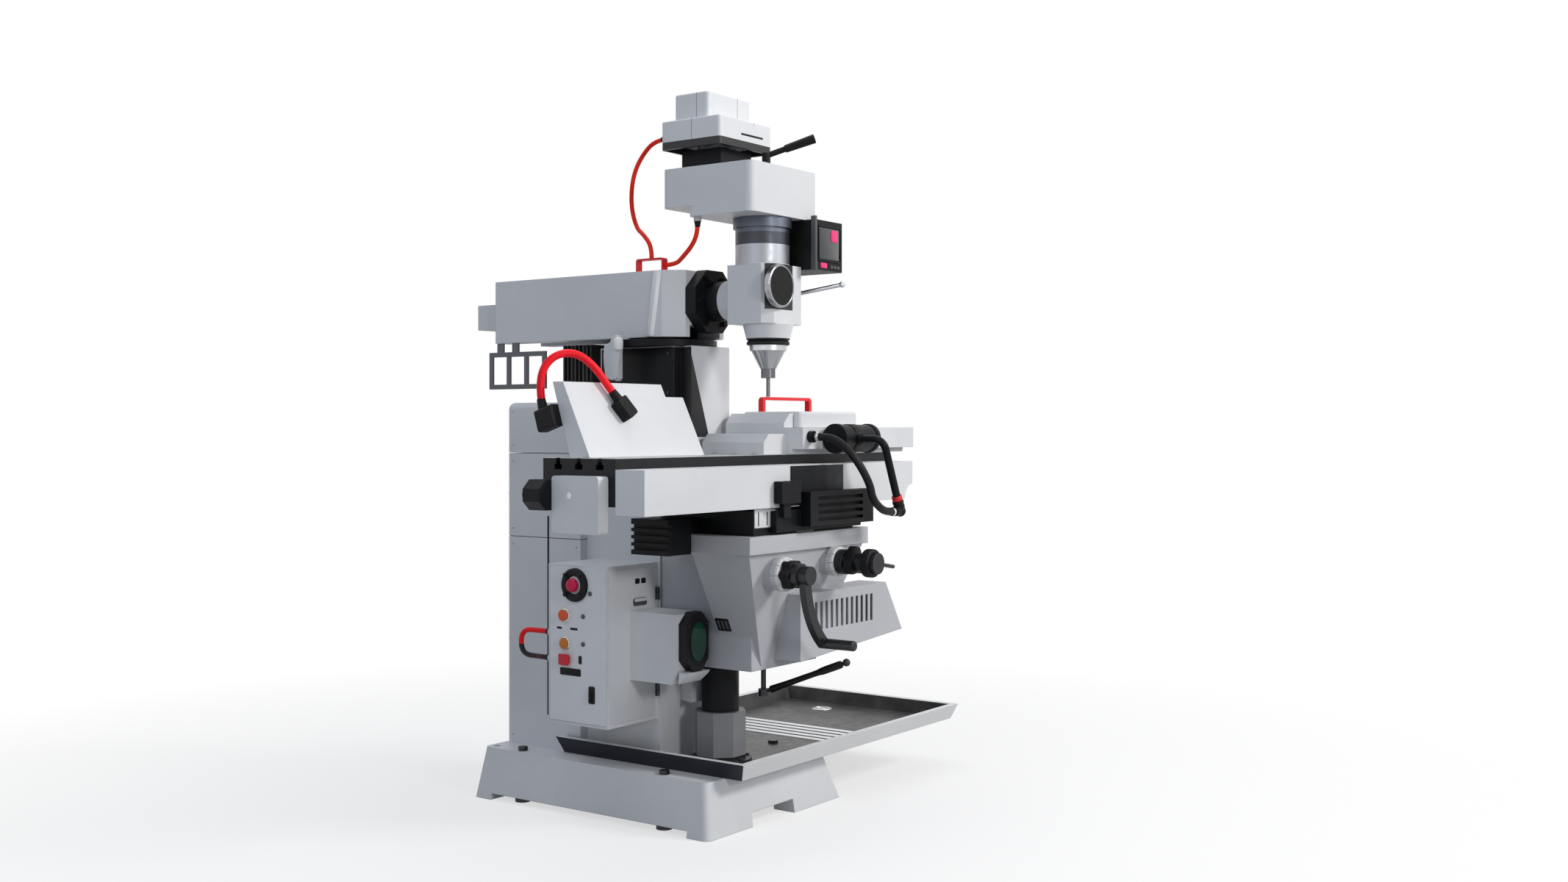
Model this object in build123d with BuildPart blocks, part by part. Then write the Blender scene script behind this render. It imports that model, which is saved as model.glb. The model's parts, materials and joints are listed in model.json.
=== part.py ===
"""Knee-type turret milling machine at full size, in millimetres.

X runs along the table to the right, Y runs from the front of the machine to its rear, and Z is up.
The origin is the centre of the base's footprint, on the floor.
"""
import os
from math import cos, pi, radians, sin, tan

from build123d import *

os.makedirs("parts", exist_ok=True)

# Clearances
slide_gap = 0.2  # between flat faces that slide on each other
fit_gap = 0.05  # radial, between a shaft and its bore
free_gap = 0.3  # between turning faces of different bodies

# Base
base_width = 650.0
base_depth = 970.0
base_height = 162.0
base_draft = 25.0
base_right_foot = 47.0
base_corner = 22.0
base_top_plate = 24.0
base_side_wall = 70.0
base_end_wall = 100.0
pad_height = 20.0
pad_length = 80.0
arch_width = 215.0
arch_height = 42.0
anchor_inset = 55.0
anchor_radius = 11.0
jack_inset = 50.0
jack_front_y = -280.0
jack_rear_y = 310.0
jack_radius = 10.0
jack_pad_radius = 25.0
jack_pad_height = 12.0
jack_head_radius = 16.0
jack_head_height = 13.0

# Chip tray
tray_width = 1265.0
tray_length = 750.0
tray_depth = 51.0
tray_left_inset = 90.0
tray_front_overhang = 60.0
tray_flare = 20.0
tray_lip = 22.0
tray_sheet = 4.0
tray_arm_depth = 25.0
tray_arm_width = 40.0
tray_arm_places = (-380.0, 60.0)
tray_arm_short = 80.0

# Column and its rear cabinet
column_height = 1288.0
column_half = 170.0
column_front = -175.0
column_rear = 130.0
column_wall = 30.0
neck_half = 105.0
shoulder_low_height = 840.0
shoulder_high_height = 1000.0
way_depth = 63.0
way_tip = 95.0
way_root = 70.0
way_bottom_height = 183.0
sheet = 4.0
cabinet_half = 200.0
cabinet_seams = (679.0, 952.0)
cabinet_height = 1115.0
cabinet_corner = 26.0
cabinet_seam_gap = 2.0
sink_half = 85.0
sink_front = 175.0
sink_rear = 300.0
sink_height = 188.0
fin_depth = 16.0
fin_thick = 6.0
fin_count = 8

# Elevating screw and its pedestal
screw_x = -30.0
screw_y = -300.0
screw_radius = 20.0
pedestal_flat = 75.0
pedestal_height = 156.0
pedestal_flange_radius = 98.0
pedestal_flange_height = 10.0
cover_radius = 58.0
cover_wall = 8.0
nut_radius = 44.0

# Control cabinet, lubricator and buttons
control_left = -400.0
control_front = -165.0
control_rear = 75.0
control_bottom_height = 138.0
control_height = 482.0
panel_thick = 4.0
panel_margin = 10.0
button_radius = 11.0
button_flange = 3.0
stop_side = 24.0
mushroom_radius = 21.0
mushroom_stem = 8.0
button_travel = 4.0
mushroom_travel = 6.0
mushroom_place = (-40.0, 561.0)
start_place = (0.0, 468.0)
lamp_place = (0.0, 383.0)
stop_place = (-3.0, 335.0)
loop_radius = 8.0
loop_inset = 24.0
loop_reach = 126.0
gland_radius = 13.0
gland_length = 16.0
lubricator_left = -300.0
lubricator_right = -182.0
lubricator_front = -350.0
lubricator_low = 274.0
lubricator_high = 482.0
lubricator_slope = 45.0
bezel_width = 104.0
bezel_height = 176.0
bezel_corner = 34.0
bezel_thick = 30.0
lens_width = 72.0
lens_height = 116.0
lens_thick = 14.0
lens_proud = 4.0

# Knee
knee_rest_height = 721.0
knee_drop = 408.0
knee_floor = 25.0
knee_wall = 38.0
cover_length = 165.0
cover_lip = 2.0
hopper_inset = 12.0
deck_half = 310.0
deck_thick = 51.0
knee_front = -625.0
body_half = 168.0
body_front = -524.0
hopper_rear = -402.0
hopper_low = 400.0
hopper_half = 120.0
key_half = 45.0
key_height = 15.0
lift_x = -165.0
lift_drop = 113.0
lift_boss = 48.0
lift_shaft = 14.0
lift_shaft_length = 190.0
cross_x = 115.0
cross_drop = 95.0
cross_boss = 42.0
cross_radius = 12.0
cross_slot_half = 20.0
cross_slot_drop = 28.0
cross_rod = 6.0
cross_rod_length = 106.0
dial_thick = 25.0
dial_radius = 50.0
hub_radius = 34.0
hub_length = 54.0
arm_lean = 92.0
arm_fall = 205.0
arm_width = 30.0
arm_thick = 22.0
grip_radius = 15.0
grip_length = 100.0
box_left = -60.0
box_rise = 40.0
box_low = 383.0
box_high = 183.0
box_right_top = 416.0
box_right_low = 515.0
box_wall = 5.0
louvre_count = 13
louvre_width = 14.0
louvre_left = -12.0
louvre_height = 84.0
louvre_drop = 30.0
clamp_x = 60.0
clamp_y = -400.0
clamp_reach = 262.0
clamp_lean = 71.0
clamp_drop = 102.0
clamp_rise = 106.0
clamp_pin = 8.0
clamp_rod = 6.0
clamp_ball = 12.0
clamp_hub_height = 22.0

# Saddle
saddle_height = 102.0
saddle_half = 260.0
saddle_front = -600.0
saddle_rear_gap = 24.0
saddle_shelf_gap = 8.0
rail_width = 30.0
rail_height = 15.0
rail_spread = 136.0
cross_travel = 200.0
cross_nut_length = 34.0
table_nut_half = 30.0
drive_grooves = 4
drive_groove = 11.0
drive_groove_pitch = 21.0
drive_groove_depth = 12.0

# Table and what stands on it
table_length = 1350.0
table_offset = -85.0
table_width = 264.0
table_thick = 130.0
table_rear_gap = 17.0
slot_width = 16.0
slot_depth = 18.0
slot_foot = 28.0
slot_foot_depth = 14.0
slot_pitch = 76.0
lead_radius = 14.0
lead_journal = 10.0
lead_height = 30.0
lead_channel_half = 28.0
lead_channel_height = 60.0
end_wall = 25.0
apron_depth = 101.0
apron_height = 122.0
apron_below = 152.0
apron_notch = 48.0
apron_wall = 12.0
bracket_thick = 40.0
bracket_front_inset = 25.0
bracket_width = 169.0
bracket_height = 155.0
bracket_below = 203.0
motor_radius = 45.0
motor_length = 62.0
console_left_inset = 30.0
console_length = 495.0
console_height = 208.0
console_foot = 73.0
console_head = 38.0
console_lean = 100.0
console_front_inset = 119.0
console_notch_length = 80.0
console_notch_height = 37.0
plug_height = 62.0
plug_width = 42.0
plug_depth = 64.0
front_plug_width = 44.0
front_plug_depth = 34.0
plug_turn = 28.0
fixture_left = 45.0
fixture_length = 650.0
fixture_height = 81.0
fixture_wall = 16.0
fixture_wing = 118.0
fixture_wing_height = 62.0
fixture_bar = 41.0
fixture_bar_lift = 15.0
lid_left = 97.0
lid_length = 323.0
lid_height = 50.0
lid_rear_inset = 25.0
lid_depth = 225.0
hinge_radius = 8.0
handle_height = 47.0
handle_inset = 52.0
handle_length = 270.0
handle_bar = 10.0
handle_width = 18.0
drum_radius = 43.0
conduit_radius = 12.0

# Turret and ram
turret_y = -40.0
turret_radius = 176.0
turret_thick = 22.0
spigot_radius = 60.0
spigot_depth = 50.0
ram_lift = 6.0
ram_half = 140.0
ram_height = 207.0
ram_front = -215.0
ram_length = 790.0
ram_nose = 45.0
ram_nose_length = 60.0
ram_slot = 37.0
guide_outer = 75.0
guide_inner = 45.0
rack_half = 15.0
rack_lift = 8.3
pinion_radius = 14.0
pinion_y = -15.0
pinion_half = 15.0
handle_shaft = 5.0
handle_drop = 118.0
ram_forward = 300.0
ram_back = 80.0
cap_half = 125.0
cap_length = 100.0
cap_low = 49.0
cap_high = 133.0
frame_front = 345.0
frame_rear = 607.0
frame_thick = 8.0
frame_bar = 16.0
frame_low = 154.0
frame_high = 30.0
bracket_x = -100.0
bracket_bar = 24.0
bracket_strip = 6.0
bracket_rear = -25.0
bracket_front = -136.0
bracket_rise = 43.0

# Head, measured from the axis on which it tilts
tilt_height = 112.0
flange_flat = 97.0
flange_thick = 40.0
knuckle_radius = 62.0
knuckle_length = 55.0
stub_radius = 48.0
stub_length = 60.0
flange_bolts = 6
flange_bolt_circle = 80.0
flange_bolt_radius = 8.0
spindle_y = -462.0
head_half = 85.0
head_front = -525.0
head_low = 80.0
head_high = 100.0
head_chamfer = 28.0
barrel_y = -440.0
barrel_radius = 83.0
barrel_collar = 90.0
collar_height = 32.0
boss_drop = 47.0
boss_top_radius = 78.0
boss_low_radius = 66.0
quill_radius = 43.0
quill_flange = 57.0
quill_flange_height = 18.0
quill_stand = 15.0
spindle_radius = 20.0
nose_length = 55.0
nose_radius = 24.0
nut_length = 28.0
chuck_radius = 22.0
cutter_radius = 6.0
cutter_length = 57.0
feed_rise = 10.0
feed_pinion = 22.0
feed_shaft = 12.0
feed_pinion_half = 20.0
lever_length = 225.0
lever_lean = 0.36
lever_rise = 0.19
lever_radius = 6.5
lever_x = 118.0
wheel_x = -44.0
wheel_rise = 32.0
wheel_radius = 64.0
wheel_shaft = 10.0
wheel_shaft_length = 14.0

# Belt housing and motor
housing_low = 245.0
housing_height = 150.0
housing_left = -182.0
housing_right = 163.0
housing_front = -535.0
housing_main_rear = -290.0
housing_rear = -190.0
housing_step = 32.0
housing_wall = 8.0
motor_y = -262.0
pulley_large = 46.0
pulley_small = 30.0
pulley_height = 30.0
belt_thick = 4.0
belt_height = 24.0
sleeve_radius = 30.0
rotor_shaft = 12.0
rotor_radius = 60.0
neck_width = 154.0
neck_length = 154.0
neck_height = 71.0
cap_low_width = 266.0
cap_low_length = 232.0
cap_low_height = 89.0
cap_top_width = 216.0
cap_top_length = 134.0
cap_top_height = 83.0
cap_top_shift = 16.0
cap_wall = 5.0
cap_round = 12.0
brake_x = 20.0
brake_y = -440.0
brake_pin = 8.0
brake_stub = 13.0
brake_stub_height = 55.0
brake_rod = 9.0
brake_grip = 12.0
brake_length = 158.0
brake_grip_length = 96.0
display_left = 90.0
display_width = 150.0
display_front = -576.0
display_depth = 184.0
display_height = 154.0
red_cable = 7.0
console_cord = 11.0

# Levels and places worked out from the sizes above
half_width = base_width / 2
half_depth = base_depth / 2
tray_left = -half_width + tray_left_inset
tray_right = tray_left + tray_width
tray_front = -half_depth - tray_front_overhang
tray_rear = tray_front + tray_length
tray_rim = base_height + tray_depth
tray_floor = base_height + tray_sheet
column_top = base_height + column_height
way_front = column_front - way_depth
way_bottom = base_height + way_bottom_height
cabinet_rear = half_depth - base_draft + 5.0
cabinet_top = base_height + cabinet_height
pedestal_top = tray_floor + pedestal_height
knee_top = base_height + knee_rest_height
knee_bottom = knee_top - knee_drop
knee_rear = way_front - slide_gap
deck_bottom = knee_top - deck_thick
lift_z = knee_top - lift_drop
cross_z = knee_top - cross_drop
saddle_low = knee_top + slide_gap
saddle_top = knee_top + saddle_height
saddle_rear = way_front - saddle_rear_gap
table_rear = way_front - table_rear_gap
table_front = table_rear - table_width
table_middle = (table_front + table_rear) / 2
table_low = saddle_top + slide_gap
table_top = saddle_top + table_thick
table_left = table_offset - table_length / 2
table_right = table_offset + table_length / 2
lead_z = saddle_top + lead_height
apron_front = table_front - apron_depth
turret_top = column_top + turret_thick
ram_low = turret_top + ram_lift
ram_top = ram_low + ram_height
ram_rear = ram_front + ram_length
tilt_z = ram_low + tilt_height
flange_front = ram_front - flange_thick
knuckle_front = flange_front - knuckle_length
stub_front = knuckle_front - stub_length
head_rear = stub_front - free_gap
housing_z = tilt_z + housing_low
housing_top = housing_z + housing_height
boss_bottom = tilt_z - head_low - boss_drop
quill_bottom = boss_bottom - quill_stand - quill_flange_height


def block(x, y, z, mode=Mode.ADD):
    """Add a box between two limits on each axis to the piece being built."""
    with Locations((sum(x) / 2, sum(y) / 2, sum(z) / 2)):
        Box(x[1] - x[0], y[1] - y[0], z[1] - z[0], mode=mode)


def bar(axis, across, radius, along, mode=Mode.ADD):
    """Add a round bar along one axis, at a place across it and between two limits."""
    middle = sum(along) / 2
    place = {
        "X": (middle, across[0], across[1]),
        "Y": (across[0], middle, across[1]),
        "Z": (across[0], across[1], middle),
    }[axis]
    turn = {"X": (0, 90, 0), "Y": (90, 0, 0), "Z": (0, 0, 0)}[axis]
    with Locations(place):
        Cylinder(radius, along[1] - along[0], rotation=turn, mode=mode)


def cone(across, low, high, mode=Mode.ADD):
    """Add an upright cone between two (height, radius) pairs."""
    with Locations((across[0], across[1], (low[0] + high[0]) / 2)):
        Cone(low[1], high[1], high[0] - low[0], mode=mode)


def bend_radii(points):
    """The largest bend at each corner that its two runs leave room for."""
    runs = [Vector(b) - Vector(a) for a, b in zip(points[:-1], points[1:])]
    radii = []
    for before, after in zip(runs[:-1], runs[1:]):
        half_turn = radians(before.get_angle(after)) / 2
        radii.append(0.45 * min(before.length, after.length) / tan(half_turn))
    return radii


def tube(name, points, radius):
    """A cord's plain solid: straight runs joined by tangent arcs."""
    radii = bend_radii(points)
    with BuildPart() as cord:
        with BuildLine() as route:
            FilletPolyline(*points, radius=radii)
        with BuildSketch(Plane(route.wire() @ 0, z_dir=route.wire() % 0)):
            Circle(radius)
        sweep(path=route.wire())
    length = route.wire().length
    share = cord.part.volume / (pi * radius**2 * length)
    bends = ", ".join(f"{r:.0f}" for r in radii)
    print(f"{name}: length {length:.0f}, volume share {share:.4f}, bend radii {bends}")
    return cord.part


# Base casting: drafted sides, four corner pads, a front arch and a hollow underside
jack_x = half_width - jack_inset
jack_places = [(side * jack_x, y) for side in (-1, 1) for y in (jack_front_y, jack_rear_y)]
anchor_x = half_width - anchor_inset
anchor_y = half_depth - anchor_inset
cavity_top = base_height - base_top_plate
with BuildPart() as base:
    with BuildSketch():
        with Locations((base_right_foot / 2, 0)):
            RectangleRounded(base_width + base_right_foot, base_depth, base_corner)
    with BuildSketch(Plane.XY.offset(base_height)):
        RectangleRounded(base_width - 2 * base_draft, base_depth - 2 * base_draft, base_corner)
    loft(ruled=True)
    pad_y = half_depth - pad_length
    block((-base_width, base_width), (-pad_y, pad_y), (0, pad_height), Mode.SUBTRACT)
    arch_half = arch_width / 2
    block((-arch_half, arch_half), (-base_depth, base_depth), (0, arch_height), Mode.SUBTRACT)
    cavity_x = half_width - base_side_wall
    cavity_y = half_depth - base_end_wall
    block((-cavity_x, cavity_x), (-cavity_y, cavity_y), (0, cavity_top), Mode.SUBTRACT)
    bar("Z", (screw_x, screw_y), screw_radius + 4 * free_gap, (0, base_height), Mode.SUBTRACT)
    with GridLocations(2 * anchor_x, 2 * anchor_y, 2, 2):
        Cylinder(anchor_radius, 2 * base_height, mode=Mode.SUBTRACT)
    for place in jack_places:
        bar("Z", place, jack_radius + free_gap, (0, base_height), Mode.SUBTRACT)
base.part.label = "base_casting"
export_step(base.part, "parts/base_casting.step")

# Levelling feet: jack screws with floor pads and hexagon heads
with BuildPart() as feet:
    for place in jack_places:
        bar("Z", place, jack_pad_radius, (0, jack_pad_height))
        bar("Z", place, jack_radius, (jack_pad_height, base_height))
        with BuildSketch(Plane.XY.offset(base_height)):
            with Locations(place):
                RegularPolygon(jack_head_radius, 6)
        extrude(amount=jack_head_height)
feet.part.label = "levelling_feet"
export_step(feet.part, "parts/levelling_feet.step")

# Chip tray: a flared pan with a broad lip, cut round the column, on two arms
tray_centre = ((tray_left + tray_right) / 2, (tray_front + tray_rear) / 2)
tray_inner = 2 * (tray_flare + tray_lip)
notch_half = cabinet_half + 2 * free_gap
arm_share = tray_arm_depth / base_height
arm_start = half_width - base_draft + arm_share * (base_draft + base_right_foot) + free_gap
with BuildPart() as tray:
    with BuildSketch(Plane.XY.offset(base_height)):
        with Locations(tray_centre):
            Rectangle(tray_width - 2 * tray_flare, tray_length - 2 * tray_flare)
    with BuildSketch(Plane.XY.offset(tray_rim)):
        with Locations(tray_centre):
            Rectangle(tray_width, tray_length)
    loft()
    with BuildSketch(Plane.XY.offset(tray_floor)):
        with Locations(tray_centre):
            Rectangle(tray_width - tray_inner, tray_length - tray_inner)
    with BuildSketch(Plane.XY.offset(tray_rim)):
        with Locations(tray_centre):
            Rectangle(tray_width - 2 * tray_lip, tray_length - 2 * tray_lip)
    loft(mode=Mode.SUBTRACT)
    notch_front = column_front - 2 * free_gap
    block((-notch_half, notch_half), (notch_front, base_depth), (base_height, 2 * tray_rim), Mode.SUBTRACT)
    bar("Z", (screw_x, screw_y), screw_radius + 4 * free_gap, (0, tray_rim), Mode.SUBTRACT)
    for place in jack_places:
        bar("Z", place, jack_head_radius + 4 * free_gap, (base_height, tray_floor), Mode.SUBTRACT)
    for arm_y in tray_arm_places:
        arm_span = (arm_y - tray_arm_width / 2, arm_y + tray_arm_width / 2)
        block((arm_start, tray_right - tray_arm_short), arm_span, (base_height - tray_arm_depth, base_height))
tray.part.label = "chip_tray"
export_step(tray.part, "parts/chip_tray.step")

# Column casting: hollow box, shoulder, neck and dovetail ways
column_span = (column_front, column_rear)
column_mid = sum(column_span) / 2
column_deep = column_rear - column_front
shoulder_low = base_height + shoulder_low_height
shoulder_high = base_height + shoulder_high_height
with BuildPart() as column:
    block((-column_half, column_half), column_span, (base_height, shoulder_low))
    with BuildSketch(Plane.XY.offset(shoulder_low)):
        with Locations((0, column_mid)):
            Rectangle(2 * column_half, column_deep)
    with BuildSketch(Plane.XY.offset(shoulder_high)):
        with Locations((0, column_mid)):
            Rectangle(2 * neck_half, column_deep)
    loft()
    block((-neck_half, neck_half), column_span, (shoulder_high, column_top))
    with BuildSketch(Plane.XY.offset(way_bottom)):
        Polygon(
            (-way_root, column_front),
            (way_root, column_front),
            (way_tip, way_front),
            (-way_tip, way_front),
            align=None,
        )
    extrude(amount=column_top - way_bottom)
    hollow_half = column_half - column_wall
    hollow_y = (column_front + column_wall, column_rear - column_wall)
    block((-hollow_half, hollow_half), hollow_y, (base_height, shoulder_low - column_wall), Mode.SUBTRACT)
    bore_z = (column_top - spigot_depth - free_gap, column_top)
    bar("Z", (0, turret_y), spigot_radius + fit_gap, bore_z, Mode.SUBTRACT)
column.part.label = "column_casting"
export_step(column.part, "parts/column_casting.step")


def cabinet_shell(low, high, closed):
    """One sheet shell of the rear cabinet, open below, with a roof where it is closed."""
    with BuildPart() as shell:
        block((-cabinet_half, cabinet_half), (column_rear, cabinet_rear), (low, high))
        fillet(shell.edges().filter_by(Axis.Z).group_by(Axis.Y)[-1], cabinet_corner)
        ends = shell.faces().filter_by(Axis.Z).sort_by(Axis.Z)
        if closed:
            rear_top = shell.faces().sort_by(Axis.Z)[-1].edges().group_by(Axis.Y)[-1]
            fillet(rear_top, cabinet_corner - sheet)
            ends = shell.faces().filter_by(Axis.Z).sort_by(Axis.Z)[:1]
        offset(amount=-sheet, openings=ends)
    return shell.part


# Rear cabinet: three stacked sheet shells with open seams between them
shell_levels = [base_height, *(base_height + seam for seam in cabinet_seams), cabinet_top]
with BuildPart() as rear_cabinet:
    for level, low in enumerate(shell_levels[:-1]):
        closed = level == len(cabinet_seams)
        high = shell_levels[level + 1]
        add(cabinet_shell(low, high if closed else high - cabinet_seam_gap, closed))
rear_cabinet.part.label = "rear_cabinet"
export_step(rear_cabinet.part, "parts/rear_cabinet.step")

# Heat sink: a block with upright fins on both sides, standing on the cabinet
sink_top = cabinet_top + sink_height
fin_pitch = (sink_rear - sink_front - fin_thick) / (fin_count - 1)
with BuildPart() as heat_sink:
    block((-sink_half, sink_half), (sink_front, sink_rear), (cabinet_top, sink_top))
    for fin in range(fin_count):
        fin_y = sink_front + fin * fin_pitch
        reach = sink_half + fin_depth
        block((-reach, reach), (fin_y, fin_y + fin_thick), (cabinet_top, sink_top))
heat_sink.part.label = "heat_sink"
export_step(heat_sink.part, "parts/heat_sink.step")

# Pedestal of the elevating screw, with the fixed nut post inside it
with BuildPart() as pedestal:
    with BuildSketch(Plane.XY.offset(tray_floor)):
        with Locations((screw_x, screw_y)):
            RegularPolygon(pedestal_flat, 8, major_radius=False, rotation=22.5)
    extrude(amount=pedestal_height)
    bar("Z", (screw_x, screw_y), pedestal_flange_radius, (tray_floor, tray_floor + pedestal_flange_height))
    bar("Z", (screw_x, screw_y), cover_radius + free_gap, (tray_floor, pedestal_top), Mode.SUBTRACT)
    bar("Z", (screw_x, screw_y), nut_radius, (tray_floor, pedestal_top - 4 * free_gap))
    bar("Z", (screw_x, screw_y), screw_radius + fit_gap, (tray_floor, pedestal_top), Mode.SUBTRACT)
pedestal.part.label = "screw_pedestal"
export_step(pedestal.part, "parts/screw_pedestal.step")

# Control cabinet: a sheet box open towards the column, with two cable glands behind
control_bottom = base_height + control_bottom_height
control_top = control_bottom + control_height
loop_x = control_left + loop_inset
loop_high = control_bottom + 270.0
loop_low = control_bottom + 190.0
panel_face = control_left - panel_thick


def panel_point(place):
    """A button's place on the panel, from its Y and its height over the base's top."""
    return (place[0], base_height + place[1])


round_buttons = (start_place, lamp_place)
with BuildPart() as control:
    block((control_left, -column_half), (control_front, control_rear), (control_bottom, control_top))
    offset(amount=-sheet, openings=control.faces().sort_by(Axis.X)[-1])
    for gland_z in (loop_high, loop_low):
        bar("Y", (loop_x, gland_z), gland_radius, (control_rear, control_rear + gland_length))
    wall = (control_left - sheet, control_left + 2 * sheet)
    for place in round_buttons:
        bar("X", panel_point(place), button_radius + free_gap, wall, Mode.SUBTRACT)
    bar("X", panel_point(mushroom_place), mushroom_stem + free_gap, wall, Mode.SUBTRACT)
    stop_y, stop_z = panel_point(stop_place)
    stop_hole = stop_side / 2 + free_gap
    stop_window = ((stop_y - stop_hole, stop_y + stop_hole), (stop_z - stop_hole, stop_z + stop_hole))
    block(wall, *stop_window, Mode.SUBTRACT)
control.part.label = "control_cabinet"
export_step(control.part, "parts/control_cabinet.step")

# Control panel: the door plate with raised button collars and the amber lamp
collar_wall = 5.0
collar_face = panel_face - 6.0
mushroom_collar = mushroom_radius + 6.0
with BuildPart() as panel:
    panel_y = (control_front + panel_margin, control_rear - panel_margin)
    panel_z = (control_bottom + panel_margin, control_top - panel_margin)
    block((panel_face, control_left), panel_y, panel_z)
    through = (collar_face, control_left)
    for place in round_buttons:
        bar("X", panel_point(place), button_radius + collar_wall, through)
        bar("X", panel_point(place), button_radius + free_gap, through, Mode.SUBTRACT)
    bar("X", panel_point(mushroom_place), mushroom_collar, through)
    bar("X", panel_point(mushroom_place), mushroom_stem + fit_gap, through, Mode.SUBTRACT)
    block(through, *stop_window, Mode.SUBTRACT)
    bar("X", panel_point(lamp_place), button_radius, (collar_face - 3.0, control_left + sheet))
panel.part.label = "control_panel"
export_step(panel.part, "parts/control_panel.step")

# Mushroom stop: a domed head on a stem that slides in the panel
mushroom_back = collar_face - mushroom_travel - 2 * free_gap
behind_wall = control_left + sheet
with BuildPart() as mushroom:
    bar("X", panel_point(mushroom_place), mushroom_stem, (mushroom_back, behind_wall))
    mushroom_face = mushroom_back - 12.0
    bar("X", panel_point(mushroom_place), mushroom_radius, (mushroom_face, mushroom_back))
    fillet(mushroom.edges().group_by(Axis.X)[0], 8.0)
    keeper = (behind_wall, behind_wall + button_flange)
    bar("X", panel_point(mushroom_place), mushroom_stem + button_flange, keeper)
mushroom.part.label = "e_stop"
export_step(mushroom.part, "parts/e_stop.step")

# Start button: a round cap kept by a flange behind the wall
cap_face = collar_face - button_travel - 2.0
with BuildPart() as start:
    bar("X", panel_point(start_place), button_radius, (cap_face, behind_wall))
    fillet(start.edges().group_by(Axis.X)[0], 2.0)
    bar("X", panel_point(start_place), button_radius + button_flange, keeper)
start.part.label = "start_button"
export_step(start.part, "parts/start_button.step")

# Stop button: a square cap kept the same way
with BuildPart() as stop:
    half = stop_side / 2
    block((cap_face, behind_wall), (stop_y - half, stop_y + half), (stop_z - half, stop_z + half))
    fillet(stop.faces().sort_by(Axis.X)[0].edges(), 2.0)
    half = half + button_flange
    block(keeper, (stop_y - half, stop_y + half), (stop_z - half, stop_z + half))
stop.part.label = "stop_button"
export_step(stop.part, "parts/stop_button.step")

# Cable loop behind the control cabinet
gland_end = control_rear + gland_length
loop_points = [
    (loop_x, gland_end, loop_high),
    (loop_x, gland_end + loop_reach, loop_high),
    (loop_x, gland_end + loop_reach, loop_low),
    (loop_x, gland_end, loop_low),
]
loop_part = tube("cabinet_cable", loop_points, loop_radius)
loop_part.label = "cabinet_cable"
export_step(loop_part, "parts/cabinet_cable.step")

# Lubricator box on the front of the control cabinet, with a sloped lower lip
lubricator_bottom = base_height + lubricator_low
lubricator_top = base_height + lubricator_high
with BuildPart() as lubricator:
    lubricator_x = (lubricator_left, lubricator_right)
    block(lubricator_x, (lubricator_front, control_front), (lubricator_bottom, lubricator_top))
    lip = lubricator.edges().filter_by(Axis.X).group_by(Axis.Z)[0].sort_by(Axis.Y)[0]
    chamfer(lip, length=lubricator_slope, length2=lubricator_slope / 2)
lubricator.part.label = "lubricator_box"
export_step(lubricator.part, "parts/lubricator_box.step")

# Black bezel of the sight glass
bezel_x = sum(lubricator_x) / 2
bezel_z = lubricator_top - bezel_height / 2 + 6.0
bezel_face = lubricator_front - bezel_thick
with BuildPart() as bezel:
    with BuildSketch(Plane.XZ.offset(-lubricator_front)) as bezel_outline:
        with Locations((bezel_x, bezel_z)):
            Rectangle(bezel_width, bezel_height)
        chamfer(bezel_outline.vertices(), bezel_corner)
    extrude(amount=bezel_thick)
    with BuildSketch(Plane.XZ.offset(-bezel_face)):
        with Locations((bezel_x, bezel_z)):
            Ellipse(lens_width / 2, lens_height / 2)
    extrude(amount=-lens_thick, mode=Mode.SUBTRACT)
bezel.part.label = "lubricator_bezel"
export_step(bezel.part, "parts/lubricator_bezel.step")

# Green sight lens seated in the bezel
with BuildPart() as lens:
    with BuildSketch(Plane.XZ.offset(-bezel_face - lens_thick)):
        with Locations((bezel_x, bezel_z)):
            Ellipse(lens_width / 2 - fit_gap, lens_height / 2 - fit_gap)
    extrude(amount=lens_thick + lens_proud)
lens.part.label = "sight_lens"
export_step(lens.part, "parts/sight_lens.step")

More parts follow.
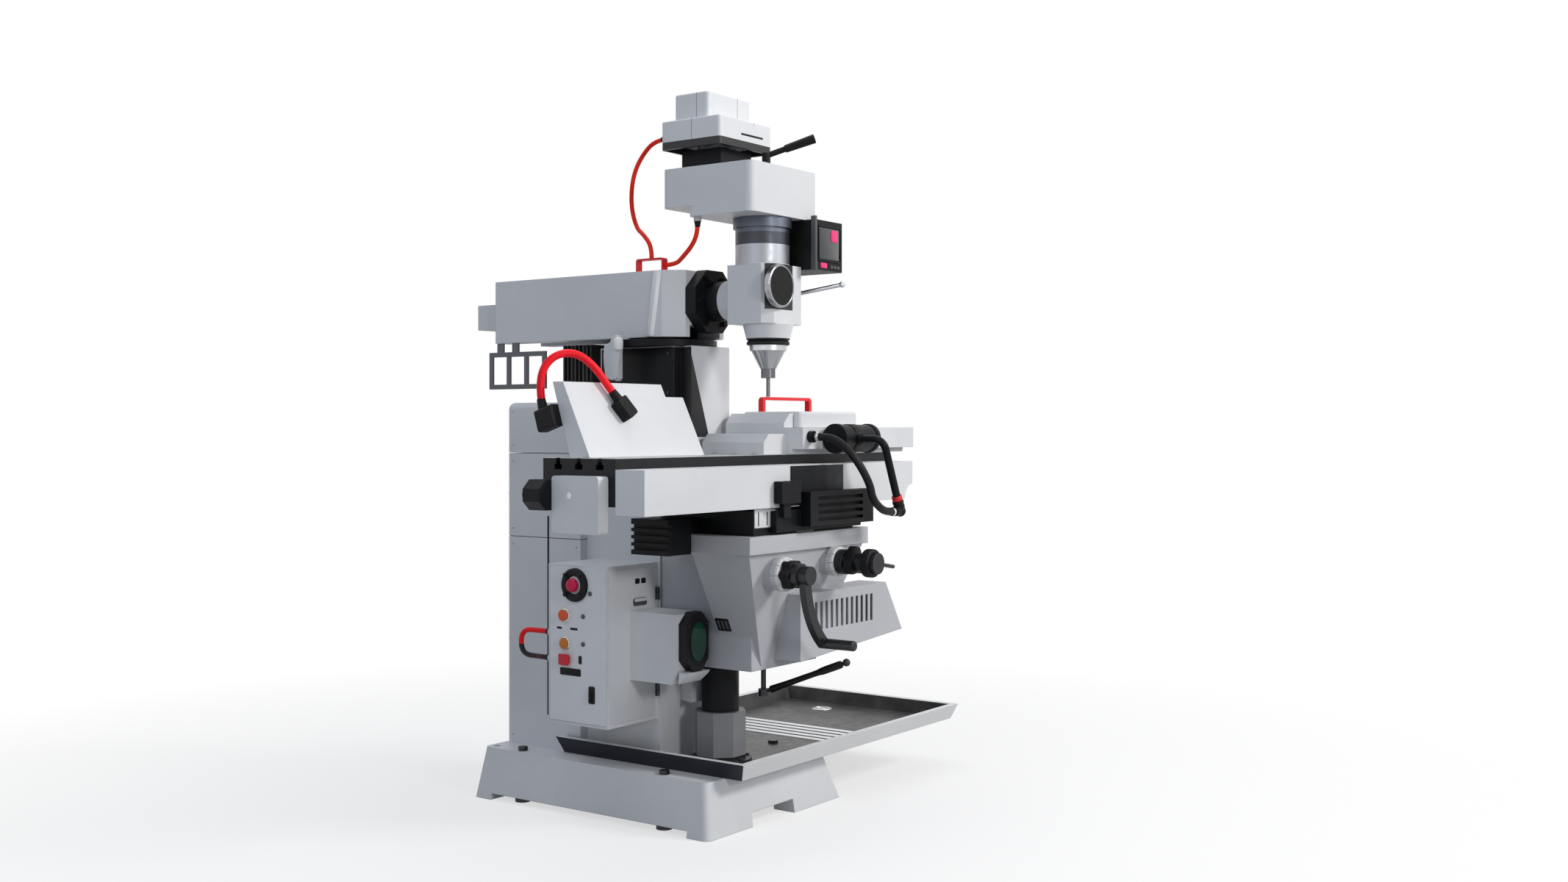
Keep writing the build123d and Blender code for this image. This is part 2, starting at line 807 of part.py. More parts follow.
# Knee casting: dovetail cheeks, deck, tapered front and bosses for the two cranks
cheek_rear = column_front - 5.0
hopper_z = knee_top - hopper_low
box_top = knee_top - box_high
hollow_low = knee_bottom + knee_floor
hollow_high = deck_bottom - knee_floor
with BuildPart() as knee:
    block((-deck_half, deck_half), (knee_front, knee_rear), (deck_bottom, knee_top))
    block((-body_half, body_half), (body_front, cheek_rear), (knee_bottom, knee_top))
    hopper_front = knee_front + hopper_inset
    with BuildSketch(Plane.XY.offset(hopper_z)):
        with Locations((0, (body_front + hopper_rear) / 2)):
            Rectangle(2 * hopper_half, hopper_rear - body_front)
    with BuildSketch(Plane.XY.offset(deck_bottom)):
        with Locations((0, (hopper_front + hopper_rear) / 2)):
            Rectangle(2 * (deck_half - hopper_inset), hopper_rear - hopper_front)
    loft(ruled=True)
    bar("Y", (lift_x, lift_z), lift_boss, (knee_front, hopper_rear))
    bar("Y", (cross_x, cross_z), cross_boss, (knee_front, body_front))
    seat_x = (box_left - free_gap, 2 * deck_half)
    block(seat_x, (2 * knee_front, body_front), (0, box_top), Mode.SUBTRACT)
    with BuildSketch(Plane.XY.offset(knee_bottom)):
        Polygon(
            (-way_tip - 2 * slide_gap, knee_rear),
            (way_tip + 2 * slide_gap, knee_rear),
            (way_root + 2 * slide_gap, column_front),
            (-way_root - 2 * slide_gap, column_front),
            align=None,
        )
    extrude(amount=knee_drop, mode=Mode.SUBTRACT)
    hollow_x = body_half - knee_wall
    hollow_y = (body_front + knee_floor, knee_rear - knee_floor)
    block((-hollow_x, hollow_x), hollow_y, (hollow_low, hollow_high), Mode.SUBTRACT)
    bar("Z", (screw_x, screw_y), cover_radius - cover_wall, (knee_bottom, hollow_low), Mode.SUBTRACT)
    bar("Z", (screw_x, screw_y), screw_radius + fit_gap, (hollow_high, deck_bottom), Mode.SUBTRACT)
    slot_x = (cross_x - cross_slot_half, cross_x + cross_slot_half)
    slot_y = (saddle_front + 10.0, saddle_rear - knee_floor)
    block(slot_x, slot_y, (cross_z - cross_slot_drop, knee_top), Mode.SUBTRACT)
    bar("Y", (cross_x, cross_z), cross_radius + fit_gap, (knee_front, saddle_rear - 10.0), Mode.SUBTRACT)
    lift_end = knee_front + lift_shaft_length
    bar("Y", (lift_x, lift_z), lift_shaft + fit_gap, (knee_front, lift_end), Mode.SUBTRACT)
    bar("Z", (clamp_x, clamp_y), clamp_pin + fit_gap, (knee_bottom, hollow_low), Mode.SUBTRACT)
    key_y = (knee_front + knee_floor, knee_rear - knee_floor)
    block((-key_half, key_half), key_y, (knee_top, knee_top + key_height))
knee.part.label = "knee_casting"
export_step(knee.part, "parts/knee_casting.step")

# Screw cover: a tube hanging from the knee by its flange
cover_top = knee_bottom
cover_bottom = cover_top - cover_length
with BuildPart() as cover:
    bar("Z", (screw_x, screw_y), cover_radius, (cover_bottom, cover_top))
    bar("Z", (screw_x, screw_y), cover_radius + cover_lip, (cover_top - cover_wall, cover_top))
    bar("Z", (screw_x, screw_y), cover_radius - cover_wall, (cover_bottom, cover_top), Mode.SUBTRACT)
cover.part.label = "screw_cover"
export_step(cover.part, "parts/screw_cover.step")

# Elevating screw, held in the knee and running in the fixed nut post
with BuildPart() as lift_screw:
    bar("Z", (screw_x, screw_y), screw_radius, (base_height + 20.0, hollow_high + 0.6 * knee_floor))
    bar("Z", (screw_x, screw_y), 1.7 * screw_radius, (hollow_high - screw_radius, hollow_high - slide_gap))
lift_screw.part.label = "elevating_screw"
export_step(lift_screw.part, "parts/elevating_screw.step")

# Drive box: a closed sheet box with a slanted end and louvres, open only where it meets the knee
box_bottom = knee_top - box_low
box_corners = [
    (box_left, box_bottom),
    (box_right_low, box_bottom + box_rise),
    (box_right_top, box_top),
    (box_left, box_top),
]
with BuildPart() as drive_box:
    with BuildSketch(Plane.XZ.offset(-body_front)):
        Polygon(*box_corners, align=None)
    extrude(amount=body_front - knee_front)
    with BuildSketch(Plane.XZ.offset(-body_front + box_wall)):
        Polygon(*box_corners, align=None)
        offset(amount=-box_wall, kind=Kind.INTERSECTION, mode=Mode.REPLACE)
    extrude(amount=body_front - knee_front - 2 * box_wall, mode=Mode.SUBTRACT)
    window_x = (box_left + 4 * box_wall, body_half - 4 * box_wall)
    window_z = (box_bottom + 6 * box_wall, box_top - 4 * box_wall)
    block(window_x, (body_front - 2 * box_wall, body_front), window_z, Mode.SUBTRACT)
    for louvre in range(louvre_count):
        louvre_x = louvre_left + 2 * louvre_width * louvre
        louvre_z = (box_top - louvre_drop - louvre_height, box_top - louvre_drop)
        louvre_y = (knee_front, knee_front + 2 * box_wall)
        block((louvre_x, louvre_x + louvre_width), louvre_y, louvre_z, Mode.SUBTRACT)
drive_box.part.label = "drive_box"
export_step(drive_box.part, "parts/drive_box.step")

# White dial rings of the two cranks
dial_face = knee_front - dial_thick
with BuildPart() as dials:
    for dial_at, dial_r, shaft_r in (
        ((lift_x, lift_z), dial_radius, lift_shaft),
        ((cross_x, cross_z), 0.9 * dial_radius, cross_radius),
    ):
        bar("Y", dial_at, dial_r, (dial_face, knee_front))
        bar("Y", dial_at, shaft_r + free_gap, (dial_face, knee_front), Mode.SUBTRACT)
dials.part.label = "crank_dials"
export_step(dials.part, "parts/crank_dials.step")

# Elevating crank: shaft, hub, curved arm and grip
hub_back = dial_face - 2 * free_gap
hub_face = hub_back - hub_length
arm_face = hub_face - arm_thick
grip_x = lift_x + arm_lean
grip_z = lift_z - arm_fall
with BuildPart() as crank:
    bar("Y", (lift_x, lift_z), lift_shaft, (hub_face, lift_end - 2.0))
    bar("Y", (lift_x, lift_z), hub_radius, (hub_face, hub_back))
    with BuildSketch(Plane.XZ.offset(-hub_face)):
        bow = (lift_x + 0.32 * arm_lean, lift_z - 0.62 * arm_fall)
        SlotArc(Edge.make_three_point_arc((lift_x, lift_z), bow, (grip_x, grip_z)), arm_width)
    extrude(amount=arm_thick)
    bar("Y", (lift_x, lift_z), 0.8 * hub_radius, (arm_face - 10.0, hub_face))
    bar("Y", (grip_x, grip_z), grip_radius, (arm_face - grip_length, arm_face))
    fillet(crank.edges().group_by(Axis.Y)[0], 5.0)
crank.part.label = "elevating_crank"
export_step(crank.part, "parts/elevating_crank.step")

# Cross-feed crank: knurled barrel, knob, clamp with a rod, and the cross screw behind it
barrel_face = hub_back - 28.0
knob_back = barrel_face - 80.0
knob_face = knob_back - 30.0
with BuildPart() as cross:
    bar("Y", (cross_x, cross_z), cross_radius, (knob_face, saddle_rear - 14.0))
    bar("Y", (cross_x, cross_z), 38.0, (barrel_face, hub_back))
    bar("Y", (cross_x, cross_z), 28.0, (knob_back, barrel_face))
    bar("Y", (cross_x, cross_z), 32.0, (knob_face, knob_back))
    rod_at = Vector(cross_x, knob_face + 14.0, cross_z)
    with BuildSketch(Plane(rod_at, z_dir=(1.0, 0.0, -0.16))):
        Circle(cross_rod)
    extrude(amount=cross_rod_length)
cross.part.label = "cross_crank"
export_step(cross.part, "parts/cross_crank.step")

# Knee clamp lever: a long pin in the knee's floor and a rod that rises to a ball in front
clamp_z = knee_bottom - clamp_drop
clamp_way = Vector(clamp_lean, -clamp_reach, clamp_rise)
clamp_end = Vector(clamp_x, clamp_y, clamp_z) + clamp_way
with BuildPart() as clamp:
    bar("Z", (clamp_x, clamp_y), clamp_pin, (clamp_z, hollow_low - 2.0))
    hub_z = (clamp_z - clamp_hub_height / 2, clamp_z + clamp_hub_height / 2)
    bar("Z", (clamp_x, clamp_y), 2 * clamp_pin, hub_z)
    bar("Z", (clamp_x, clamp_y), 1.6 * clamp_pin, (knee_bottom - clamp_hub_height, knee_bottom - slide_gap))
    with BuildSketch(Plane((clamp_x, clamp_y, clamp_z), z_dir=clamp_way)):
        Circle(clamp_rod)
    extrude(amount=clamp_way.length)
    with Locations(clamp_end):
        Sphere(clamp_ball)
clamp.part.label = "knee_clamp_lever"
export_step(clamp.part, "parts/knee_clamp_lever.step")

# Saddle: keyed to the knee below, with rails and a nut for the table above
rail_places = [table_middle + side * rail_spread / 2 for side in (-1, 1)]
with BuildPart() as saddle:
    block((-saddle_half, saddle_half), (saddle_front, saddle_rear), (saddle_low, saddle_top))
    groove_half = key_half + slide_gap
    groove_z = (saddle_low, knee_top + key_height + slide_gap)
    block((-groove_half, groove_half), (2 * saddle_front, 0), groove_z, Mode.SUBTRACT)
    shelf_top = table_top - apron_below - saddle_shelf_gap
    shelf_y = (2 * saddle_front, table_front)
    block((-saddle_half, saddle_half), shelf_y, (shelf_top, saddle_top), Mode.SUBTRACT)
    for rail_y in rail_places:
        rail_span = (rail_y - rail_width / 2, rail_y + rail_width / 2)
        block((-saddle_half, saddle_half), rail_span, (saddle_top, saddle_top + rail_height))
    nut_rear = saddle_rear - knee_floor - 24.0
    nut_span = (nut_rear - cross_nut_length, nut_rear)
    nut_half = cross_slot_half - 3.0
    block((cross_x - nut_half, cross_x + nut_half), nut_span, (cross_z - nut_half, saddle_low + 1.0))
    bar("Y", (cross_x, cross_z), cross_radius + fit_gap, nut_span, Mode.SUBTRACT)
    nut_y = (table_middle - 24.0, table_middle + 24.0)
    block((-table_nut_half, table_nut_half), nut_y, (saddle_top, lead_z + 22.0))
    nut_x = (-table_nut_half, table_nut_half)
    bar("X", (table_middle, lead_z), lead_radius + fit_gap, nut_x, Mode.SUBTRACT)
saddle.part.label = "saddle_casting"
export_step(saddle.part, "parts/saddle_casting.step")

# Saddle drives: a finned unit on the left, a finned unit and a switch box in front
unit_right = -saddle_half - 60.0
unit_left = unit_right - 105.0
unit_rear = saddle_rear - 18.0
unit_front = unit_rear - 139.0
unit_top = saddle_low + 49.0
unit_low = unit_top - 104.0
drive_back = saddle_front - 24.0
drive_face = drive_back - 38.0
drive_low = saddle_low + 20.0
drive_high = drive_low + 103.0
drive_right = saddle_half + 24.0
drive_left = drive_right - 344.0
with BuildPart() as drives:
    block((unit_left, unit_right), (unit_front, unit_rear), (unit_low, unit_top))
    for groove in range(drive_grooves):
        groove_low = unit_low + 14.0 + groove * drive_groove_pitch
        groove_z = (groove_low, groove_low + drive_groove)
        block((unit_left, unit_left + drive_groove_depth), (unit_front, unit_rear), groove_z, Mode.SUBTRACT)
    neck_y = (unit_front + 20.0, unit_rear - 20.0)
    block((unit_right, -saddle_half), neck_y, (saddle_low + 7.0, unit_top))
    shelf_x = (drive_left - 120.0, drive_right - 14.0)
    block(shelf_x, (drive_back, saddle_front), (saddle_low + 7.0, saddle_low + 70.0))
    block((drive_left, drive_right), (drive_face, drive_back), (drive_low, drive_high))
    for groove in range(drive_grooves):
        groove_low = drive_low + 14.0 + groove * drive_groove_pitch
        groove_z = (groove_low, groove_low + drive_groove)
        groove_x = (drive_left + 40.0, drive_right - 60.0)
        block(groove_x, (drive_face, drive_face + drive_groove_depth), groove_z, Mode.SUBTRACT)
    switch_x = (drive_left - 130.0, drive_left - 35.0)
    block(switch_x, (drive_back - 28.0, drive_back), (saddle_top - 10.0, saddle_top + 55.0))
    post_x = (switch_x[0] + 30.0, switch_x[1] - 30.0)
    block(post_x, (drive_back - 13.0, drive_back + 3.0), (saddle_low + 50.0, saddle_top))
drives.part.label = "saddle_drives"
export_step(drives.part, "parts/saddle_drives.step")

# Table: three T-slots above, rail grooves and the lead-screw channel below
slot_places = [table_middle + step * slot_pitch for step in (-1, 0, 1)]
with BuildPart() as table:
    block((table_left, table_right), (table_front, table_rear), (table_low, table_top))
    whole = (2 * table_left, 2 * table_right)
    for slot_at in slot_places:
        neck = (slot_at - slot_width / 2, slot_at + slot_width / 2)
        foot = (slot_at - slot_foot / 2, slot_at + slot_foot / 2)
        neck_low = table_top - slot_depth
        block(whole, neck, (neck_low, table_top), Mode.SUBTRACT)
        block(whole, foot, (neck_low - slot_foot_depth, neck_low), Mode.SUBTRACT)
    for rail_y in rail_places:
        groove_half = rail_width / 2 + slide_gap
        groove_z = (table_low, saddle_top + rail_height + slide_gap)
        block(whole, (rail_y - groove_half, rail_y + groove_half), groove_z, Mode.SUBTRACT)
    channel_x = (table_left, table_right - end_wall)
    channel_y = (table_middle - lead_channel_half, table_middle + lead_channel_half)
    block(channel_x, channel_y, (table_low, saddle_top + lead_channel_height), Mode.SUBTRACT)
    end_x = (table_right - end_wall, table_right)
    bar("X", (table_middle, lead_z), lead_journal + fit_gap, end_x, Mode.SUBTRACT)
table.part.label = "table"
export_step(table.part, "parts/table.step")

# Front apron along the table, with a scooped lower right corner
apron_low = table_top - apron_below
with BuildPart() as apron:
    with BuildSketch(Plane.XZ.offset(-table_front)):
        with Locations(((table_left + table_right) / 2, apron_low + apron_height / 2)):
            Rectangle(table_length, apron_height)
        with Locations((table_right, apron_low)):
            Circle(apron_notch, mode=Mode.SUBTRACT)
    extrude(amount=apron_depth)
    pocket_x = (table_left + apron_wall, table_right - apron_notch - 2 * apron_wall)
    pocket_z = (table_low + apron_wall, apron_low + apron_height - apron_wall)
    block(pocket_x, (apron_front + apron_wall, table_front), pocket_z, Mode.SUBTRACT)
apron.part.label = "front_apron"
export_step(apron.part, "parts/front_apron.step")

# Left end bracket, which carries the lead screw
bracket_y = (table_front + bracket_front_inset, table_front + bracket_front_inset + bracket_width)
bracket_left = table_left - bracket_thick
bracket_low = table_top - bracket_below
with BuildPart() as bracket:
    block((bracket_left, table_left), bracket_y, (bracket_low, bracket_low + bracket_height))
    fillet(bracket.edges().filter_by(Axis.X), 10.0)
    bar("X", (table_middle, lead_z), lead_journal + fit_gap, (bracket_left, table_left), Mode.SUBTRACT)
bracket.part.label = "end_bracket"
export_step(bracket.part, "parts/end_bracket.step")

# Table lead screw
with BuildPart() as lead:
    bar("X", (table_middle, lead_z), lead_radius, (table_left + 2.0, table_right - end_wall - 2.0))
    bar("X", (table_middle, lead_z), lead_journal, (bracket_left + 2.0, table_right - 2.0))
lead.part.label = "table_screw"
export_step(lead.part, "parts/table_screw.step")

# Feed motors: one behind the end bracket, one drum on the fixture with a rigid conduit
fixture_front = table_front - fixture_bar
fixture_right = fixture_left + fixture_length
fixture_top = table_top + fixture_height
drum_y = fixture_front - drum_radius - 3.0
drum_z = table_top + 47.0
motor_x = bracket_left - 5.0
conduit_points = [
    (fixture_left + 177.0, drum_y - 20.0, drum_z),
    (fixture_left + 177.0, drum_y - 132.0, drum_z - 2.0),
    (fixture_left + 268.0, drum_y - 136.0, drum_z - 226.0),
]
conduit_end = conduit_points[-1]
with BuildPart() as motors:
    with BuildSketch(Plane.XZ.offset(-bracket_y[1])):
        with Locations((motor_x, lead_z)):
            RegularPolygon(motor_radius, 8, rotation=22.5)
    extrude(amount=-motor_length)
    cap_span = (bracket_y[1] + motor_length, bracket_y[1] + motor_length + 12.0)
    bar("Y", (motor_x, lead_z), 0.7 * motor_radius, cap_span)
    drum_x = (fixture_left + 125.0, fixture_left + 285.0)
    bar("X", (drum_y, drum_z), drum_radius, drum_x)
    bar("X", (drum_y, drum_z), drum_radius + 3.0, (drum_x[0] - 20.0, drum_x[0]))
    bar("X", (drum_y, drum_z), drum_radius + 3.0, (drum_x[1], drum_x[1] + 15.0))
    bar("X", (drum_y, drum_z), 0.6 * drum_radius, (drum_x[1], drum_x[1] + 32.0))
    gland_y = (drum_y - drum_radius - 12.0, drum_y)
    bar("Y", (conduit_points[0][0], drum_z), 1.5 * conduit_radius, gland_y)
    foot_x = (drum_x[0] + 30.0, drum_x[1] - 30.0)
    block(foot_x, (drum_y + 20.0, fixture_front), (drum_z - 22.0, drum_z + 22.0))
    hose_gland = (fixture_left + 38.0, drum_z + 6.0)
    bar("Y", hose_gland, 1.5 * conduit_radius, (fixture_front - 16.0, fixture_front))
    with BuildLine() as conduit_line:
        FilletPolyline(*conduit_points, radius=34.0)
    with BuildSketch(Plane(conduit_line.wire() @ 0, z_dir=conduit_line.wire() % 0)):
        Circle(conduit_radius)
    sweep(path=conduit_line.wire())
    with Locations(conduit_end):
        Sphere(1.5 * conduit_radius)
    stub_x = (conduit_end[0] - 34.0, conduit_end[0])
    bar("X", (conduit_end[1], conduit_end[2]), 1.25 * conduit_radius, stub_x)
motors.part.label = "feed_motors"
export_step(motors.part, "parts/feed_motors.step")

# Hose loop from the conduit's lower end back up to the drum
hose_start = (stub_x[0], conduit_end[1], conduit_end[2])
hose_end = (hose_gland[0], fixture_front - 16.0, hose_gland[1])
hose_points = [
    hose_start,
    (hose_start[0] - 44.0, hose_start[1], hose_start[2]),
    (hose_start[0] - 90.0, hose_start[1] - 2.0, hose_start[2] + 16.0),
    (hose_start[0] - 130.0, hose_start[1] - 2.0, hose_start[2] + 46.0),
    (hose_end[0] + 60.0, hose_end[1] - 165.0, hose_end[2] - 148.0),
    (hose_end[0] + 34.0, hose_end[1] - 152.0, hose_end[2] - 96.0),
    (hose_end[0] + 14.0, hose_end[1] - 124.0, hose_end[2] - 46.0),
    (hose_end[0] + 3.0, hose_end[1] - 84.0, hose_end[2] - 10.0),
    (hose_end[0], hose_end[1] - 42.0, hose_end[2]),
    hose_end,
]
hose_part = tube("feed_hose", hose_points, conduit_radius)
hose_part.label = "feed_hose"
export_step(hose_part, "parts/feed_hose.step")

# Console: a leaning sheet box, open below, with a lower right shoulder
console_left = table_left + console_left_inset
console_right = console_left + console_length
console_top = table_top + console_height
console_front = table_front + console_front_inset
front_edge = Vector(0, console_lean, console_height)
back_lean = console_lean + console_head - console_foot
back_edge = Vector(0, back_lean, console_height)
with BuildPart() as console:
    with BuildSketch(Plane.YZ.offset(console_left)):
        Polygon(
            (console_front, table_top),
            (console_front + console_foot, table_top),
            (console_front + console_foot + back_lean, console_top),
            (console_front + console_lean, console_top),
            align=None,
        )
    extrude(amount=console_length)
    notch_x = (console_right - console_notch_length, 2 * console_length)
    block(notch_x, (2 * table_front, 0), (console_top - console_notch_height, 2 * console_top), Mode.SUBTRACT)
    offset(amount=-3.0, openings=console.faces().sort_by(Axis.Z)[0])
console.part.label = "console"
export_step(console.part, "parts/console.step")

# Cable plugs: one behind the console, one on its sloped front
front_normal = Vector(0, -console_height, console_lean)
back_normal = Vector(0, console_height, -back_lean)
back_share = 0.56
back_foot = Vector(console_left - 12.0, console_front + console_foot, table_top)
back_place = back_foot + back_edge * back_share
front_place = Vector(console_left + 192.0, console_front, table_top) + front_edge * 0.61
with BuildPart() as plugs:
    with BuildSketch(Plane(back_place, x_dir=(1, 0, 0), z_dir=back_normal)):
        RectangleRounded(plug_width, plug_height, 8.0)
    extrude(amount=plug_depth)
    with BuildSketch(Plane(front_place, x_dir=(1, 0, 0), z_dir=front_normal)):
        RectangleRounded(front_plug_width, plug_height, 8.0, rotation=plug_turn)
    extrude(amount=front_plug_depth)
plugs.part.label = "console_plugs"
export_step(plugs.part, "parts/console_plugs.step")

# Thick cable arching from the rear plug over to the front plug
plug_reach = plug_height / 2 + fit_gap
cable_start = back_place + back_edge.normalized() * plug_reach + back_normal.normalized() * 0.72 * plug_depth
turned = radians(plug_turn)
front_up = front_edge.normalized() * cos(turned) - Vector(sin(turned), 0, 0)
cable_end = front_place + front_up * plug_reach + front_normal.normalized() * 0.55 * front_plug_depth
cable_lead = 44.0
cable_up = cable_start + back_edge.normalized() * cable_lead
cable_down = cable_end + front_up.normalized() * cable_lead
cable_points = [
    tuple(cable_start),
    tuple(cable_up),
    (cable_up.X + 6.0, cable_up.Y - 2.0, cable_up.Z + 70.0),
    (cable_up.X + 42.0, cable_up.Y - 22.0, cable_up.Z + 112.0),
    (cable_up.X + 94.0, cable_up.Y - 50.0, cable_up.Z + 116.0),
    (cable_up.X + 136.0, cable_up.Y - 78.0, cable_up.Z + 80.0),
    tuple(cable_down),
    tuple(cable_end),
]
cable_part = tube("console_cable", cable_points, console_cord)
cable_part.label = "console_cable"
export_step(cable_part, "parts/console_cable.step")

# Work fixture: plate with a front bar, a low wing, a raised end and hinge knuckles
lid_right = lid_left + lid_length
lid_rear = table_rear - lid_rear_inset - 10.0
lid_front = lid_rear - lid_depth
hinge_y = lid_rear + hinge_radius - 2.0
hinge_z = fixture_top + hinge_radius + free_gap
knuckle_in = (lid_left + 50.0, lid_right - 70.0)
fixture_rear = table_rear - 8.0
with BuildPart() as fixture:
    block((fixture_left, fixture_right), (table_front, fixture_rear), (table_top, fixture_top))
    pocket_x = (fixture_left + fixture_wall, table_right - fixture_wall)
    pocket_y = (table_front + fixture_wall, fixture_rear - fixture_wall)
    block(pocket_x, pocket_y, (table_top, fixture_top - fixture_wall), Mode.SUBTRACT)
    bar_z = (table_top + fixture_bar_lift, fixture_top)
    block((fixture_left, fixture_right), (fixture_front, table_front), bar_z)
    raised_x = (fixture_left, lid_left - 2.0)
    block(raised_x, (table_front + 30.0, fixture_rear), (fixture_top, fixture_top + lid_height - 6.0))
    raised_edge = fixture.edges().filter_by(Axis.Y).group_by(Axis.Z)[-1].sort_by(Axis.X)[0]
    chamfer(raised_edge, 30.0)
    wing_x = (fixture_left - fixture_wing, fixture_left)
    block(wing_x, (table_front + 20.0, fixture_rear), (table_top, table_top + fixture_wing_height))
    wing_edge = fixture.edges().filter_by(Axis.Y).sort_by(Axis.X)[:2].sort_by(Axis.Z)[-1]
    chamfer(wing_edge, 26.0)
    for knuckle_x in ((knuckle_in[0] - 30.0, knuckle_in[0]), (knuckle_in[1], knuckle_in[1] + 30.0)):
        bar("X", (hinge_y, hinge_z), hinge_radius, knuckle_x)
        block(knuckle_x, (hinge_y - hinge_radius, hinge_y + hinge_radius), (fixture_top, hinge_z))
    bar("X", (hinge_y, hinge_z), hinge_radius / 2, (knuckle_in[0] - 30.0, knuckle_in[1] + 30.0))
fixture.part.label = "fixture_block"
export_step(fixture.part, "parts/fixture_block.step")

# Fixture lid: a rounded slab hinged along its rear edge
lid_low = fixture_top + slide_gap
lid_top = fixture_top + lid_height
relief = hinge_radius + free_gap
with BuildPart() as lid:
    block((lid_left, lid_right), (lid_front, lid_rear), (lid_low, lid_top))
    fillet(lid.edges().filter_by(Axis.Z), 14.0)
    fillet(lid.faces().sort_by(Axis.Z)[-1].edges(), 9.0)
    for knuckle_x in ((lid_left, knuckle_in[0] + free_gap), (knuckle_in[1] - free_gap, lid_right)):
        block(knuckle_x, (hinge_y - relief - 2.0, 0), (lid_low, hinge_z + relief), Mode.SUBTRACT)
    leaf = (knuckle_in[0] + free_gap, knuckle_in[1] - free_gap)
    bar("X", (hinge_y, hinge_z), hinge_radius, leaf)
    bar("X", (hinge_y, hinge_z), hinge_radius / 2 + fit_gap, leaf, Mode.SUBTRACT)
lid.part.label = "fixture_lid"
export_step(lid.part, "parts/fixture_lid.step")

# Red handle on the lid
handle_x = ((lid_left + lid_right - handle_length) / 2, (lid_left + lid_right + handle_length) / 2)
handle_y = lid_rear - handle_inset
handle_top = lid_top + handle_height
with BuildPart() as handle:
    handle_span = (handle_y - handle_width / 2, handle_y + handle_width / 2)
    block(handle_x, handle_span, (lid_top, handle_top))
    fillet(handle.edges().filter_by(Axis.Y).group_by(Axis.Z)[-1], 14.0)
    inner_x = (handle_x[0] + 1.4 * handle_bar, handle_x[1] - 1.4 * handle_bar)
    block(inner_x, handle_span, (lid_top, handle_top - handle_bar), Mode.SUBTRACT)
handle.part.label = "lid_handle"
export_step(handle.part, "parts/lid_handle.step")

# Turret: a disc on a spigot, two ram guides and a pocket for the ram's pinion
turret_low = column_top + slide_gap
guide_top = ram_low + ram_slot - slide_gap
rack_low = ram_low + rack_lift
pinion_z = rack_low - free_gap - pinion_radius
with BuildPart() as turret:
    bar("Z", (0, turret_y), turret_radius, (turret_low, turret_top))
    bar("Z", (0, turret_y), spigot_radius, (column_top - spigot_depth, turret_low))
    guide_y = (ram_front + ram_back + 10.0, turret_y + 160.0)
    for side in (-1, 1):
        guide_x = sorted((side * guide_inner, side * (guide_outer - slide_gap)))
        block(guide_x, guide_y, (turret_top, guide_top))
    pocket = pinion_radius + 2 * free_gap
    pocket_x = (-pinion_half - free_gap, pinion_half + free_gap)
    bar("X", (pinion_y, pinion_z), pocket, pocket_x, Mode.SUBTRACT)
    shaft_x = (-2 * turret_radius, pinion_half + 20.0)
    bar("X", (pinion_y, pinion_z), handle_shaft + fit_gap, shaft_x, Mode.SUBTRACT)
turret.part.label = "turret_base"
export_step(turret.part, "parts/turret_base.step")

# Ram handle: shaft, pinion and a lever that hangs beside the turret
lever_in = -turret_radius - 2.0
with BuildPart() as ram_handle:
    bar("X", (pinion_y, pinion_z), handle_shaft, (lever_in, pinion_half + 18.0))
    bar("X", (pinion_y, pinion_z), pinion_radius, (-pinion_half, pinion_half))
    with BuildSketch(Plane.YZ.offset(lever_in)):
        with Locations((pinion_y, pinion_z - handle_drop / 2)):
            SlotCenterToCenter(handle_drop, 26.0, rotation=90)
    extrude(amount=-14.0)
ram_handle.part.label = "ram_handle"
export_step(ram_handle.part, "parts/ram_handle.step")

# Ram: chamfered nose, guide slot with the rack, hollow rear end and its cap
with BuildPart() as ram:
    with BuildSketch(Plane.XY.offset(ram_low)):
        Polygon(
            (-ram_half + ram_nose, ram_front),
            (ram_half - ram_nose, ram_front),
            (ram_half, ram_front + ram_nose_length),
            (ram_half, ram_rear),
            (-ram_half, ram_rear),
            (-ram_half, ram_front + ram_nose_length),
            align=None,
        )
    extrude(amount=ram_height)
    slot_z = (ram_low, ram_low + ram_slot)
    block((-guide_outer, guide_outer), (2 * ram_front, 2 * ram_rear), slot_z, Mode.SUBTRACT)
    rack_y = (pinion_y - ram_back - 25.0, pinion_y + ram_forward + 25.0)
    block((-rack_half, rack_half), rack_y, (rack_low, ram_low + ram_slot + 1.0))
    hollow_z = (ram_low + cap_low + 8.0, ram_low + cap_high - 8.0)
    hollow_half = cap_half - 8.0
    block((-hollow_half, hollow_half), (rack_y[1] + 20.0, ram_rear), hollow_z, Mode.SUBTRACT)
    vent_y = (ram_rear - 140.0, ram_rear - 90.0)
    block((-20.0, 20.0), vent_y, (ram_low + ram_slot, hollow_z[0]), Mode.SUBTRACT)
    cap_y = (ram_rear, ram_rear + cap_length)
    block((-cap_half, cap_half), cap_y, (ram_low + cap_low, ram_low + cap_high))
ram.part.label = "ram_casting"
export_step(ram.part, "parts/ram_casting.step")

